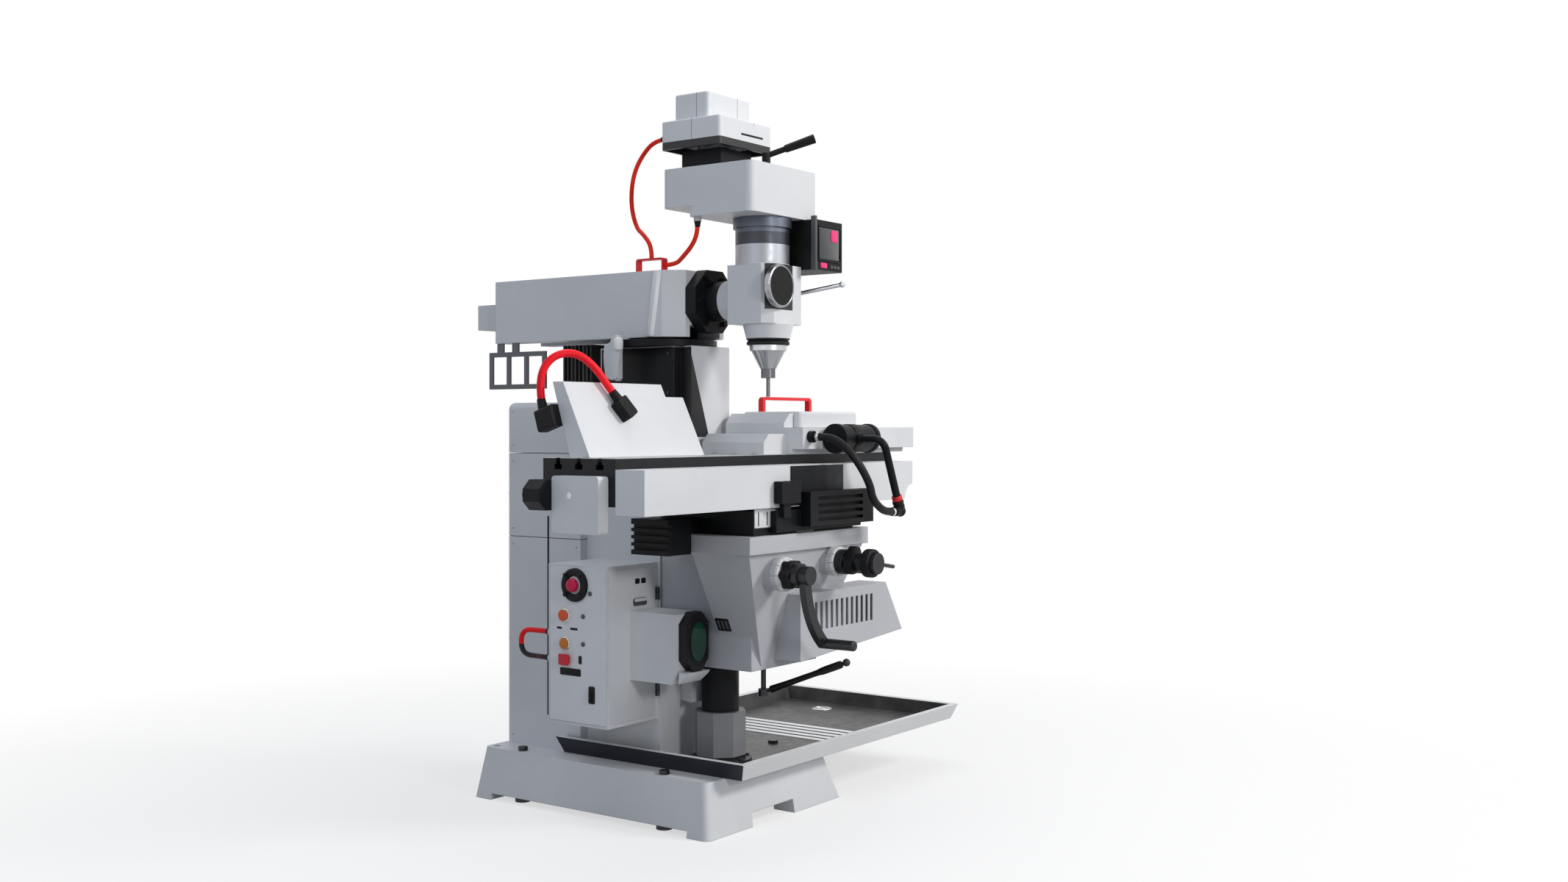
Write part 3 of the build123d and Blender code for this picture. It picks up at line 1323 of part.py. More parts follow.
# Adapter flange: octagon, knuckle, pivot stub and a ring of bolts
with BuildPart() as flange:
    with BuildSketch(Plane.XZ.offset(-ram_front)):
        with Locations((0, tilt_z)):
            RegularPolygon(flange_flat, 8, major_radius=False, rotation=22.5)
    extrude(amount=flange_thick)
    bar("Y", (0, tilt_z), knuckle_radius, (knuckle_front, flange_front))
    bar("Y", (0, tilt_z), stub_radius, (stub_front, knuckle_front))
    with Locations(Plane((0, flange_front, tilt_z), x_dir=(1, 0, 0), z_dir=(0, -1, 0))):
        with PolarLocations(flange_bolt_circle, flange_bolts):
            Cylinder(flange_bolt_radius, 12.0, align=(Align.CENTER, Align.CENTER, Align.MIN))
flange.part.label = "adapter_flange"
export_step(flange.part, "parts/adapter_flange.step")

# Red cable bracket on the ram
bracket_span = (bracket_x - bracket_bar / 2, bracket_x + bracket_bar / 2)
bracket_top = ram_top + bracket_rise
with BuildPart() as cable_bracket:
    block(bracket_span, (bracket_front, bracket_rear), (ram_top, bracket_top))
    fillet(cable_bracket.edges().filter_by(Axis.X).group_by(Axis.Z)[-1], 9.0)
    inner_y = (bracket_front + bracket_strip, bracket_rear - bracket_strip)
    block(bracket_span, inner_y, (ram_top, bracket_top - bracket_strip), Mode.SUBTRACT)
cable_bracket.part.label = "cable_bracket"
export_step(cable_bracket.part, "parts/cable_bracket.step")

# Dark flat-bar frame hanging under the ram's rear end
frame_x = (-ram_half + 2.0, -ram_half + 2.0 + frame_thick)
frame_z = (ram_low - frame_low, ram_low - frame_high)
with BuildPart() as rear_frame:
    block(frame_x, (frame_front, frame_rear), frame_z)
    window_count = 3
    window_pitch = (frame_rear - frame_front - frame_bar) / window_count
    for window in range(window_count):
        window_y = frame_front + frame_bar + window * window_pitch
        window_span = (window_y, window_y + window_pitch - frame_bar)
        window_z = (frame_z[0] + frame_bar, frame_z[1] - frame_bar)
        block(frame_x, window_span, window_z, Mode.SUBTRACT)
    hanger_y = (ram_rear - 34.0, ram_rear - 6.0)
    block(frame_x, hanger_y, (frame_z[1] - frame_bar, ram_low))
    hanger_y = (ram_rear - 104.0, ram_rear - 76.0)
    block(frame_x, hanger_y, (frame_z[1] - frame_bar, ram_low))
rear_frame.part.label = "rear_frame"
export_step(rear_frame.part, "parts/rear_frame.step")

# Head casting: body, pivot ring, barrel, nose boss, quill bore and pinion chamber
head_bottom = tilt_z - head_low
head_top = tilt_z + head_high
feed_y = spindle_y + quill_radius + free_gap + feed_pinion
quill_top = head_top
bore_top = quill_top + 10.0
with BuildPart() as head:
    block((-head_half, head_half), (head_front, head_rear), (head_bottom, head_top))
    front_left = head.edges().filter_by(Axis.Z).group_by(Axis.Y)[0].sort_by(Axis.X)[0]
    chamfer(front_left, head_chamfer)
    bar("Y", (0, tilt_z), knuckle_radius, (head_rear, knuckle_front - free_gap))
    bar("Y", (0, tilt_z), stub_radius + fit_gap, (head_rear, knuckle_front), Mode.SUBTRACT)
    bar("Z", (0, barrel_y), barrel_radius, (head_top, housing_z))
    bar("Z", (0, barrel_y), barrel_collar, (housing_z - collar_height, housing_z))
    cone((0, spindle_y), (boss_bottom, boss_low_radius), (head_bottom, boss_top_radius))
    bar("Z", (0, spindle_y), quill_radius + fit_gap, (boss_bottom, bore_top), Mode.SUBTRACT)
    bar("Z", (0, spindle_y), sleeve_radius + fit_gap, (bore_top, housing_z), Mode.SUBTRACT)
    chamber_x = (-feed_pinion_half - free_gap, feed_pinion_half + free_gap)
    bar("X", (feed_y, tilt_z + feed_rise), feed_pinion + 2 * free_gap, chamber_x, Mode.SUBTRACT)
    bar("X", (feed_y, tilt_z + feed_rise), feed_shaft + fit_gap, (-60.0, head_half), Mode.SUBTRACT)
    wheel_bore = (head_front, head_front + wheel_shaft_length)
    bar("Y", (wheel_x, tilt_z + wheel_rise), wheel_shaft + fit_gap, wheel_bore, Mode.SUBTRACT)
head.part.label = "head_casting"
export_step(head.part, "parts/head_casting.step")

# Quill: a sleeve with a bottom flange
with BuildPart() as quill:
    flange_top = quill_bottom + quill_flange_height
    bar("Z", (0, spindle_y), quill_radius, (flange_top, quill_top))
    bar("Z", (0, spindle_y), quill_flange, (quill_bottom, flange_top))
    bar("Z", (0, spindle_y), spindle_radius + fit_gap, (quill_bottom, quill_top), Mode.SUBTRACT)
quill.part.label = "quill"
export_step(quill.part, "parts/quill.step")

# Spindle: shaft and tapered nose
spindle_top = housing_top - housing_wall - 2.0
nose_low = quill_bottom - nose_length
with BuildPart() as spindle:
    bar("Z", (0, spindle_y), spindle_radius, (nose_low, spindle_top))
    cone((0, spindle_y), (nose_low, nose_radius), (quill_bottom - slide_gap, quill_flange - 5.0))
spindle.part.label = "spindle"
export_step(spindle.part, "parts/spindle.step")

# Collet nut and cutter
nut_low = nose_low - nut_length
with BuildPart() as collet:
    bar("Z", (0, spindle_y), chuck_radius, (nut_low, nose_low))
    bar("Z", (0, spindle_y), cutter_radius, (nut_low - cutter_length, nut_low))
collet.part.label = "collet"
export_step(collet.part, "parts/collet.step")

# Belt housing: a hollow cover with a higher rear step
with BuildPart() as housing:
    block((housing_left, housing_right), (housing_front, housing_main_rear), (housing_z, housing_top))
    fillet(housing.edges().filter_by(Axis.Z), 24.0)
    step_z = housing_z + housing_step
    block((housing_left, housing_right), (housing_main_rear - 60.0, housing_rear), (step_z, housing_top))
    rear_edges = housing.edges().filter_by(Axis.Z).group_by(Axis.Y)[-1]
    fillet(rear_edges, 24.0)
    inner_x = (housing_left + housing_wall + 10.0, housing_right - housing_wall - 10.0)
    inner_top = housing_top - housing_wall
    inner_y = (housing_front + housing_wall + 10.0, housing_main_rear - housing_wall - 10.0)
    block(inner_x, inner_y, (housing_z + housing_wall, inner_top), Mode.SUBTRACT)
    inner_y = (housing_main_rear - 60.0, housing_rear - housing_wall - 10.0)
    block(inner_x, inner_y, (step_z + housing_wall, inner_top), Mode.SUBTRACT)
    bar("Z", (0, spindle_y), sleeve_radius + 4 * free_gap, (housing_z, inner_top), Mode.SUBTRACT)
    bar("Z", (0, motor_y), rotor_shaft + 4 * free_gap, (step_z + housing_wall, housing_top), Mode.SUBTRACT)
    bar("Z", (brake_x, brake_y), brake_pin + fit_gap, (inner_top, housing_top), Mode.SUBTRACT)
    housing_gland = (housing_left + 32.0, housing_main_rear - 16.0)
    bar("Z", housing_gland, red_cable + 5.0, (housing_z - 12.0, housing_z + 2.0))
housing.part.label = "belt_housing"
export_step(housing.part, "parts/belt_housing.step")

# Spindle pulley on its bearing sleeve
pulley_low = step_z + housing_wall + 7.0
pulley_high = pulley_low + pulley_height
with BuildPart() as pulley:
    bar("Z", (0, spindle_y), pulley_large, (pulley_low, pulley_high))
    bar("Z", (0, spindle_y), sleeve_radius, (bore_top + free_gap, pulley_low))
    bar("Z", (0, spindle_y), spindle_radius + fit_gap, (bore_top, pulley_high), Mode.SUBTRACT)
pulley.part.label = "spindle_pulley"
export_step(pulley.part, "parts/spindle_pulley.step")

# Motor base: a black block with a well for the rotor
base_y = (motor_y - neck_length / 2, motor_y + neck_length / 2)
neck_top = housing_top + neck_height
with BuildPart() as motor_base:
    block((-neck_width / 2, neck_width / 2), base_y, (housing_top, neck_top))
    bar("Z", (0, motor_y), rotor_radius + 5.0, (housing_top + 10.0, neck_top), Mode.SUBTRACT)
    bar("Z", (0, motor_y), rotor_shaft + fit_gap, (housing_top, neck_top), Mode.SUBTRACT)
motor_base.part.label = "motor_base"
export_step(motor_base.part, "parts/motor_base.step")

# Motor cover: a wide lower cap and a narrower top cap in one shell, open below
cap_top_z = neck_top + cap_low_height
cover_top_z = cap_top_z + cap_top_height
cap_y = motor_y
cap_top_y = motor_y + cap_top_shift
cover_gland = (-cap_low_width / 2 + 43.0, cap_top_z - 45.0)
with BuildPart() as motor_cover:
    low_half = cap_low_width / 2
    low_y = (cap_y - cap_low_length / 2, cap_y + cap_low_length / 2)
    block((-low_half, low_half), low_y, (neck_top, cap_top_z))
    fillet(motor_cover.edges().filter_by(Axis.Z), cap_round)
    fillet(motor_cover.faces().sort_by(Axis.Z)[-1].edges(), 6.0)
    top_half = cap_top_width / 2
    top_y = (cap_top_y - cap_top_length / 2, cap_top_y + cap_top_length / 2)
    with BuildSketch(Plane.XY.offset(cap_top_z - 10.0)):
        with Locations((0, cap_top_y)):
            RectangleRounded(cap_top_width, cap_top_length, cap_round)
    extrude(amount=cap_top_height + 10.0)
    fillet(motor_cover.faces().sort_by(Axis.Z)[-1].edges(), 6.0)
    wall_in = cap_wall + 3.0
    low_in = (low_y[0] + wall_in, low_y[1] - wall_in)
    block((-low_half + wall_in, low_half - wall_in), low_in, (neck_top, cap_top_z - wall_in), Mode.SUBTRACT)
    top_in = (top_y[0] + wall_in, top_y[1] - wall_in)
    block((-top_half + wall_in, top_half - wall_in), top_in, (neck_top, cover_top_z - wall_in), Mode.SUBTRACT)
    bar("Y", cover_gland, red_cable + 5.0, (low_y[1] - 2.0, low_y[1] + 12.0))
motor_cover.part.label = "motor_cover"
export_step(motor_cover.part, "parts/motor_cover.step")

# Motor rotor with its shaft and small pulley
with BuildPart() as rotor:
    bar("Z", (0, motor_y), rotor_shaft, (pulley_low, cover_top_z - 40.0))
    bar("Z", (0, motor_y), rotor_radius, (housing_top + 15.0, cap_top_z - 14.0))
    bar("Z", (0, motor_y), pulley_small, (pulley_low, pulley_high))
rotor.part.label = "motor_rotor"
export_step(rotor.part, "parts/motor_rotor.step")

# Drive belt round both pulleys
belt_low = (pulley_low + pulley_high - belt_height) / 2
with BuildPart() as belt:
    with BuildSketch(Plane.XY.offset(belt_low)):
        with Locations((0, spindle_y)):
            Circle(pulley_large + free_gap + belt_thick)
        with Locations((0, motor_y)):
            Circle(pulley_small + free_gap + belt_thick)
        make_hull()
    extrude(amount=belt_height)
    with BuildSketch(Plane.XY.offset(belt_low)):
        with Locations((0, spindle_y)):
            Circle(pulley_large + free_gap)
        with Locations((0, motor_y)):
            Circle(pulley_small + free_gap)
        make_hull()
    extrude(amount=belt_height, mode=Mode.SUBTRACT)
belt.part.label = "drive_belt"
export_step(belt.part, "parts/drive_belt.step")

# Display box under the housing's right front
display_right = display_left + display_width
display_rear = display_front + display_depth
with BuildPart() as display:
    display_z = (housing_z - display_height, housing_z)
    block((display_left, display_right), (display_front, display_rear), display_z)
    fillet(display.edges().filter_by(Axis.Z), 6.0)
display.part.label = "display_box"
export_step(display.part, "parts/display_box.step")

# Quill lever: shaft with pinion, hub and a rod with a round end
lever_z = tilt_z + feed_rise
lever_way = Vector(lever_lean, -1.0, lever_rise).normalized()
lever_end = Vector(lever_x, feed_y, lever_z) + lever_way * lever_length
with BuildPart() as quill_lever:
    bar("X", (feed_y, lever_z), feed_shaft, (-58.0, lever_x))
    bar("X", (feed_y, lever_z), feed_pinion, (-feed_pinion_half, feed_pinion_half))
    bar("X", (feed_y, lever_z), 26.0, (head_half + 3.0, lever_x + 12.0))
    with BuildSketch(Plane((lever_x, feed_y, lever_z), z_dir=lever_way)):
        Circle(lever_radius)
    extrude(amount=lever_length)
    with Locations(lever_end):
        Sphere(1.5 * lever_radius)
quill_lever.part.label = "quill_lever"
export_step(quill_lever.part, "parts/quill_lever.step")

# Feed handwheel on the head's front
wheel_face = head_front - free_gap
with BuildPart() as wheel:
    wheel_at = (wheel_x, tilt_z + wheel_rise)
    bar("Y", wheel_at, wheel_radius, (wheel_face - 20.0, wheel_face))
    fillet(wheel.edges().group_by(Axis.Y)[0], 5.0)
    bar("Y", wheel_at, wheel_shaft, (wheel_face, wheel_face + wheel_shaft_length - 1.0))
wheel.part.label = "feed_wheel"
export_step(wheel.part, "parts/feed_wheel.step")

# Brake lever on the housing's top
brake_way = Vector(105.0, -140.0, 63.0).normalized()
brake_base = Vector(brake_x, brake_y, housing_top + brake_stub_height - 8.0)
with BuildPart() as brake:
    bar("Z", (brake_x, brake_y), brake_pin, (inner_top + 1.0, housing_top + 2.0))
    bar("Z", (brake_x, brake_y), brake_stub, (housing_top + slide_gap, housing_top + brake_stub_height))
    with BuildSketch(Plane(brake_base, z_dir=brake_way)):
        Circle(brake_rod)
    extrude(amount=brake_length)
    with BuildSketch(Plane(brake_base + brake_way * (brake_length - brake_grip_length), z_dir=brake_way)):
        Circle(brake_grip)
    extrude(amount=brake_grip_length, taper=-1.5)
brake.part.label = "brake_lever"
export_step(brake.part, "parts/brake_lever.step")

# Motor cable: from the motor cover in a hanging bow to the bracket on the ram
cord_x, cord_z = cover_gland
cord_y = low_y[1] + 12.0
bracket_mid = (bracket_front + bracket_rear) / 2
motor_cord_points = [
    (cord_x, cord_y, cord_z),
    (cord_x, cord_y + 46.0, cord_z),
    (cord_x + 2.0, cord_y + 96.0, cord_z - 34.0),
    (cord_x + 4.0, cord_y + 136.0, cord_z - 86.0),
    (cord_x + 5.0, cord_y + 152.0, cord_z - 150.0),
    (cord_x + 4.0, cord_y + 148.0, cord_z - 214.0),
    (cord_x + 1.0, cord_y + 124.0, cord_z - 272.0),
    (bracket_x + 3.0, bracket_mid + 36.0, bracket_top + 78.0),
    (bracket_x, bracket_mid, bracket_top + 38.0),
    (bracket_x, bracket_mid, bracket_top),
]
motor_cord = tube("motor_cable", motor_cord_points, red_cable)
motor_cord.label = "motor_cable"
export_step(motor_cord, "parts/motor_cable.step")

# Housing cable: from the belt housing down to the front of the bracket
start_z = housing_z - 12.0
housing_cord_points = [
    (housing_gland[0], housing_gland[1], start_z),
    (housing_gland[0], housing_gland[1], start_z - 36.0),
    (housing_gland[0] + 8.0, housing_gland[1] + 28.0, start_z - 72.0),
    (housing_gland[0] + 24.0, housing_gland[1] + 78.0, start_z - 102.0),
    (bracket_x, bracket_front - 44.0, bracket_top - 24.0),
    (bracket_x, bracket_front, bracket_top - 24.0),
]
housing_cord = tube("housing_cable", housing_cord_points, red_cable)
housing_cord.label = "housing_cable"
export_step(housing_cord, "parts/housing_cable.step")
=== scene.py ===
import json
from math import cos, pi, sin

import bmesh
import bpy
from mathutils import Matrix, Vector


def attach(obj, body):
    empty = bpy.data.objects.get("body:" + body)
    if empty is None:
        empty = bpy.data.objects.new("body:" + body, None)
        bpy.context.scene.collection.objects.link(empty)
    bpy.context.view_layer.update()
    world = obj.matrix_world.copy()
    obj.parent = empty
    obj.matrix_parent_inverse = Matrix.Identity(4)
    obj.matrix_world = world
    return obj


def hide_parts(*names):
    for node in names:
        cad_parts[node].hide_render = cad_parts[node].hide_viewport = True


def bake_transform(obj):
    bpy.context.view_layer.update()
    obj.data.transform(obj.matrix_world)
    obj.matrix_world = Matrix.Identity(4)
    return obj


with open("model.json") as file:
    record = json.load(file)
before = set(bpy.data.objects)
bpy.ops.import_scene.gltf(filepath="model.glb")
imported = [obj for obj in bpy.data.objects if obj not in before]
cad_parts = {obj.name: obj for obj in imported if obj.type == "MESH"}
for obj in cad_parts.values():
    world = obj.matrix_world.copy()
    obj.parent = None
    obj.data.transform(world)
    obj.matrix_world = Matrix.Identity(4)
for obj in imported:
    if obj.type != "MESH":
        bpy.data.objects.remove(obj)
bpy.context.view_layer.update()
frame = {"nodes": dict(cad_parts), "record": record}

nodes = frame["nodes"]
scene = bpy.context.scene

# Units and directions
MM = 0.001
TO_MM = 1000.0
RIGHT, LEFT = (1, 0, 0), (-1, 0, 0)
BACK, FRONT = (0, 1, 0), (0, -1, 0)
UP, DOWN = (0, 0, 1), (0, 0, -1)

# Steps of round and rounded forms, and the angle in radians above which an edge stays sharp
BEVEL_STEPS = 2
CORNER_STEPS = 5
SCREW_STEPS = 24
TUBE_STEPS = 20
LOBE_STEPS = 72
RELIEF_RIBS = 5
SHARP_ANGLE = 0.6

# Sockets of the Mix node when it mixes colours
MIX_SHARE, MIX_A, MIX_B, MIX_RESULT = 0, 6, 7, 2

# Cosines between the rounded and the flat normal where an edge starts and where it is full
EDGE_START, EDGE_FULL = 0.995, 0.86

# Colours that several materials share
WHITE = (0.70, 0.71, 0.725)
INK = (0.008, 0.0085, 0.010)
BACKDROP = (1.0, 1.0, 1.0, 1.0)


# Node-graph helpers for materials
def fresh_tree(owner):
    """The emptied node tree of a material or a world."""
    owner.use_nodes = True
    owner.node_tree.nodes.clear()
    return owner.node_tree


def is_socket(value):
    return hasattr(value, "is_output")


def rgba(colour):
    """A colour with its alpha; a socket stays as it is."""
    return colour if is_socket(colour) else (*colour, 1.0)


def toned(colour, times, plus=0.0):
    """A colour made darker or lighter."""
    return tuple(min(1.0, times * c + plus) for c in colour)


def fill(tree, socket, value):
    """Links an input to another node's output, or sets its value."""
    if is_socket(value):
        tree.links.new(value, socket)
    else:
        socket.default_value = value


def add_node(tree, kind, inputs=None, **settings):
    """A node with its settings and its filled inputs."""
    node = tree.nodes.new(kind)
    for key, value in settings.items():
        setattr(node, key, value)
    for key, value in (inputs or {}).items():
        fill(tree, node.inputs[key], value)
    return node


class Graph:
    """A material's node tree with short calls for its nodes."""

    def __init__(self, name):
        self.mat = bpy.data.materials.new(name)
        self.tree = fresh_tree(self.mat)
        self.shader = add_node(self.tree, "ShaderNodeBsdfPrincipled")
        add_node(self.tree, "ShaderNodeOutputMaterial", {0: self.shader.outputs[0]})
        self.coords = add_node(self.tree, "ShaderNodeTexCoord").outputs
        self.place = self.coords["Object"]

    def math(self, kind, a, b=0.0):
        return add_node(self.tree, "ShaderNodeMath", {0: a, 1: b}, operation=kind).outputs[0]

    def above(self, value, limit):
        return self.math("GREATER_THAN", value, limit)

    def below(self, value, limit):
        return self.math("LESS_THAN", value, limit)

    def all_of(self, share, *others):
        """The product of shares: 1 only where each of them is 1."""
        for other in others:
            share = self.math("MULTIPLY", share, other)
        return share

    def without(self, share, other):
        """A share with another one cut out of it."""
        return self.all_of(share, self.math("SUBTRACT", 1.0, other))

    def within(self, value, low, high):
        """1 where value lies between low and high, else 0."""
        return self.all_of(self.above(value, low), self.below(value, high))

    def axes(self):
        """The place along X, Y and Z in metres."""
        return add_node(self.tree, "ShaderNodeSeparateXYZ", {0: self.place}).outputs

    def facing(self, axis):
        """The surface's own normal along one axis, in the object's frame."""
        return add_node(self.tree, "ShaderNodeSeparateXYZ", {0: self.coords["Normal"]}).outputs[axis]

    def scaled(self, x, y, z):
        return add_node(self.tree, "ShaderNodeMapping", {"Scale": (x, y, z), "Vector": self.place}).outputs[0]

    def noise(self, scale, detail=3.0, rough=0.5, vector=None):
        inputs = {"Scale": scale, "Detail": detail, "Roughness": rough, "Vector": vector or self.place}
        return add_node(self.tree, "ShaderNodeTexNoise", inputs).outputs["Fac"]

    def cells(self, scale):
        inputs = {"Scale": scale, "Vector": self.place}
        return add_node(self.tree, "ShaderNodeTexVoronoi", inputs).outputs["Distance"]

    def span(self, value, low, high, new_low, new_high):
        """The range from low to high stretched to a new range, and clamped to it."""
        inputs = dict(enumerate((value, low, high, new_low, new_high)))
        return add_node(self.tree, "ShaderNodeMapRange", inputs, clamp=True).outputs[0]

    def mix(self, share, a, b):
        """Colour a where the share is 0, colour b where it is 1."""
        inputs = {MIX_SHARE: share, MIX_A: rgba(a), MIX_B: rgba(b)}
        return add_node(self.tree, "ShaderNodeMix", inputs, data_type="RGBA").outputs[MIX_RESULT]

    def bump(self, height, strength, distance, normal=None):
        inputs = {"Strength": strength, "Distance": distance, "Height": height}
        if normal is not None:
            inputs["Normal"] = normal
        return add_node(self.tree, "ShaderNodeBump", inputs).outputs[0]

    def soft_edge(self, radius):
        """The normal with edges rounded by a radius in metres."""
        return add_node(self.tree, "ShaderNodeBevel", {"Radius": radius}, samples=4).outputs[0]

    def edge_share(self, rounded):
        """Near 1 along sharp edges, 0 on flat faces."""
        flat = add_node(self.tree, "ShaderNodeNewGeometry").outputs["Normal"]
        cosine = add_node(self.tree, "ShaderNodeVectorMath", {0: rounded, 1: flat}, operation="DOT_PRODUCT")
        return self.span(cosine.outputs["Value"], EDGE_START, EDGE_FULL, 0.0, 1.0)

    def set(self, **values):
        """Fills the shader's inputs, whose names have _ for a space here."""
        for key, value in values.items():
            socket = self.shader.inputs[key.replace("_", " ")]
            fill(self.tree, socket, rgba(value) if key == "Base_Color" else value)


def paint(name, colour, rough=0.42, worn=(0.86, 0.87, 0.88), wear=0.35, edge=0.0025, peel=0.05,
          mark=None, shine=0.4):
    """Sprayed enamel: slow tone changes, orange peel, faint grime, paler edges."""
    g = Graph(name)
    tone = g.span(g.noise(2.2, 4.0, 0.55), 0.32, 0.68, 0.0, 1.0)
    body = g.mix(tone, toned(colour, 0.93), toned(colour, 1.04))
    grime = g.span(g.noise(14.0, 8.0, 0.7), 0.56, 0.78, 0.0, 0.16)
    body = g.mix(grime, body, toned(colour, 0.72))
    rounded = g.soft_edge(edge)
    scuff = g.span(g.noise(55.0, 5.0, 0.7), 0.35, 0.62, 0.15, 1.0)
    body = g.mix(g.all_of(g.edge_share(rounded), scuff, wear), body, worn)
    if mark is not None:
        body = mark(g, body)
    g.set(
        Base_Color=body,
        Roughness=g.span(g.noise(30.0, 4.0, 0.6), 0.3, 0.7, rough - 0.05, rough + 0.08),
        Normal=g.bump(g.noise(620.0, 2.0, 0.5), peel, 0.0006, rounded),
        Specular_IOR_Level=shine,
    )
    return g.mat


def plastic(name, colour, rough, grain=0.12, shine=0.25):
    """Moulded plastic with a fine spark-eroded grain."""
    g = Graph(name)
    tone = g.span(g.noise(9.0, 4.0, 0.6), 0.3, 0.7, 0.0, 1.0)
    body = g.mix(tone, toned(colour, 0.85), toned(colour, 1.1, 0.003))
    rounded = g.soft_edge(0.0015)
    body = g.mix(g.all_of(g.edge_share(rounded), 0.3), body, toned(colour, 1.4, 0.03))
    g.set(
        Base_Color=body,
        Roughness=g.span(g.noise(60.0, 3.0, 0.6), 0.3, 0.7, rough - 0.06, rough + 0.08),
        Normal=g.bump(g.cells(900.0), grain, 0.0004, rounded),
        Specular_IOR_Level=shine,
    )
    return g.mat


def rubber(name, colour, rough, mark=None):
    """Cable sheath or hose: dull, faint dust, and print-free."""
    g = Graph(name)
    dust = g.span(g.noise(38.0, 6.0, 0.65), 0.5, 0.75, 0.0, 0.12)
    sheath = mark(g, colour) if mark is not None else colour
    g.set(
        Base_Color=g.mix(dust, sheath, toned(colour, 1.0, 0.06)),
        Roughness=g.span(g.noise(80.0, 3.0, 0.5), 0.3, 0.7, rough - 0.06, rough + 0.08),
        Normal=g.bump(g.noise(1100.0, 2.0, 0.5), 0.08, 0.0004),
        Specular_IOR_Level=0.16,
    )
    return g.mat


def metal(name, colour, rough, stretch=(6.0, 6.0, 300.0), scratch=0.05):
    """Machined metal: fine drawn lines, tone patches and brighter edges."""
    g = Graph(name)
    lines = g.noise(4.0, 5.0, 0.6, g.scaled(*stretch))
    body = g.mix(g.span(lines, 0.3, 0.7, 0.0, 1.0), toned(colour, 0.86), colour)
    patch = g.span(g.noise(11.0, 5.0, 0.6), 0.52, 0.75, 0.0, 0.25)
    body = g.mix(patch, body, toned(colour, 0.65))
    rounded = g.soft_edge(0.0015)
    body = g.mix(g.all_of(g.edge_share(rounded), 0.4), body, toned(colour, 1.25, 0.05))
    g.set(
        Base_Color=body,
        Metallic=1.0,
        Roughness=g.span(lines, 0.25, 0.75, rough - 0.07, rough + 0.1),
        Normal=g.bump(lines, scratch, 0.0005, rounded),
    )
    return g.mat


# Marks painted by place on single nodes, in metres
def tray_mark(g, body):
    """Dark pan inside, darkened partly by oil stains and partly as painted shade; the left skirt in painted
    shade; pale lip above.
    """
    x, y, z = g.axes()
    floor_z, lip_z, brim_z = 0.1645, 0.2085, 0.2115
    pan = g.all_of(g.within(x, -0.222, 1.017), g.within(y, -0.533, 0.193), g.within(z, floor_z, brim_z))
    pan = g.without(pan, g.all_of(g.above(z, lip_z), g.above(g.facing(2), 0.9)))
    # The outer faces of the rim at the front, right and back stay pale
    for axis, sign, edge in ((1, -1.0, 0.48), (0, 1.0, 0.97), (1, 1.0, 0.15)):
        outward = g.above(g.math("MULTIPLY", g.facing(axis), sign), 0.3)
        outside = g.above(g.math("MULTIPLY", (x, y)[axis], sign), edge)
        pan = g.without(pan, g.all_of(outward, outside))
    # Inside the pan the dark tones are oil stains and also painted shade for the shade that falls in the pan
    stain = g.span(g.noise(7.0, 6.0, 0.65), 0.35, 0.7, 0.0, 1.0)
    oil_and_shade = g.mix(stain, (0.018, 0.018, 0.020), (0.070, 0.066, 0.063))
    # The left outer skirt is painted shade: dark blue-grey on the side that faces away from the light
    skirt = g.all_of(g.below(g.facing(0), -0.6), g.below(x, -0.2))
    return g.mix(skirt, g.mix(pan, body, oil_and_shade), (0.020, 0.022, 0.032))


def head_mark(g, body):
    """Black window round the hand wheel, black boss foot, and a turned neck whose dark band and collar under
    the belt housing are painted shade.
    """
    x, y, z = g.axes()
    boss_z, neck_z, band_z, collar_z = 1.4675, 1.6935, 1.752, 1.789
    neck = g.above(z, neck_z)
    g.set(Metallic=neck)
    body = g.mix(neck, body, (0.31, 0.32, 0.35))
    # The collar just under the belt housing is darker: painted shade from the housing above
    body = g.mix(g.above(z, collar_z), body, (0.10, 0.112, 0.14))
    window = g.all_of(g.below(y, -0.505), g.within(z, 1.553, 1.692), g.within(x, -0.087, 0.040))
    body = g.mix(window, body, INK)
    # The darker band below the collar is painted shade under the belt housing as well
    band = g.all_of(g.within(z, band_z, collar_z), g.below(y, -0.2))
    body = g.mix(band, body, (0.055, 0.058, 0.068))
    return g.mix(g.below(z, boss_z), body, INK)


def column_mark(g, body):
    """Black guard over the neck's left flank, cut slantwise across the front."""
    x, y, z = g.axes()
    guard_foot, guard_top = 1.166, 1.447
    cut_top, cut_slope, cut_x = 1.45, 0.3416, -0.105
    edge = g.math("ADD", g.math("MULTIPLY", g.math("SUBTRACT", cut_top, z), cut_slope), cut_x)
    flank = g.all_of(g.below(x, -0.06), g.above(y, -0.2365))
    guard = g.math("MAXIMUM", g.below(x, edge), flank)
    guard = g.all_of(guard, g.within(z, guard_foot, guard_top), g.below(y, -0.1))
    return g.mix(guard, body, INK)


def loop_mark(g, colour):
    """The small looped cable: red above, black below."""
    return g.mix(g.above(g.axes()[2], 0.524), (0.010, 0.010, 0.012), colour)


def cover_mark(g, body):
    """Black skirt under the motor cover and the seams of its shells."""
    x, y, z = g.axes()
    skirt_top, cap_foot, seam = 2.0795, 2.135, 0.0012
    cross = g.below(g.math("ABSOLUTE", g.math("ADD", y, 0.268)), seam)
    along = g.below(g.math("ABSOLUTE", g.math("SUBTRACT", x, 0.040)), seam)
    along = g.all_of(along, g.above(z, cap_foot))
    body = g.mix(g.all_of(g.math("MAXIMUM", cross, along), 0.75), body, (0.10, 0.10, 0.11))
    return g.mix(g.below(z, skirt_top), body, INK)


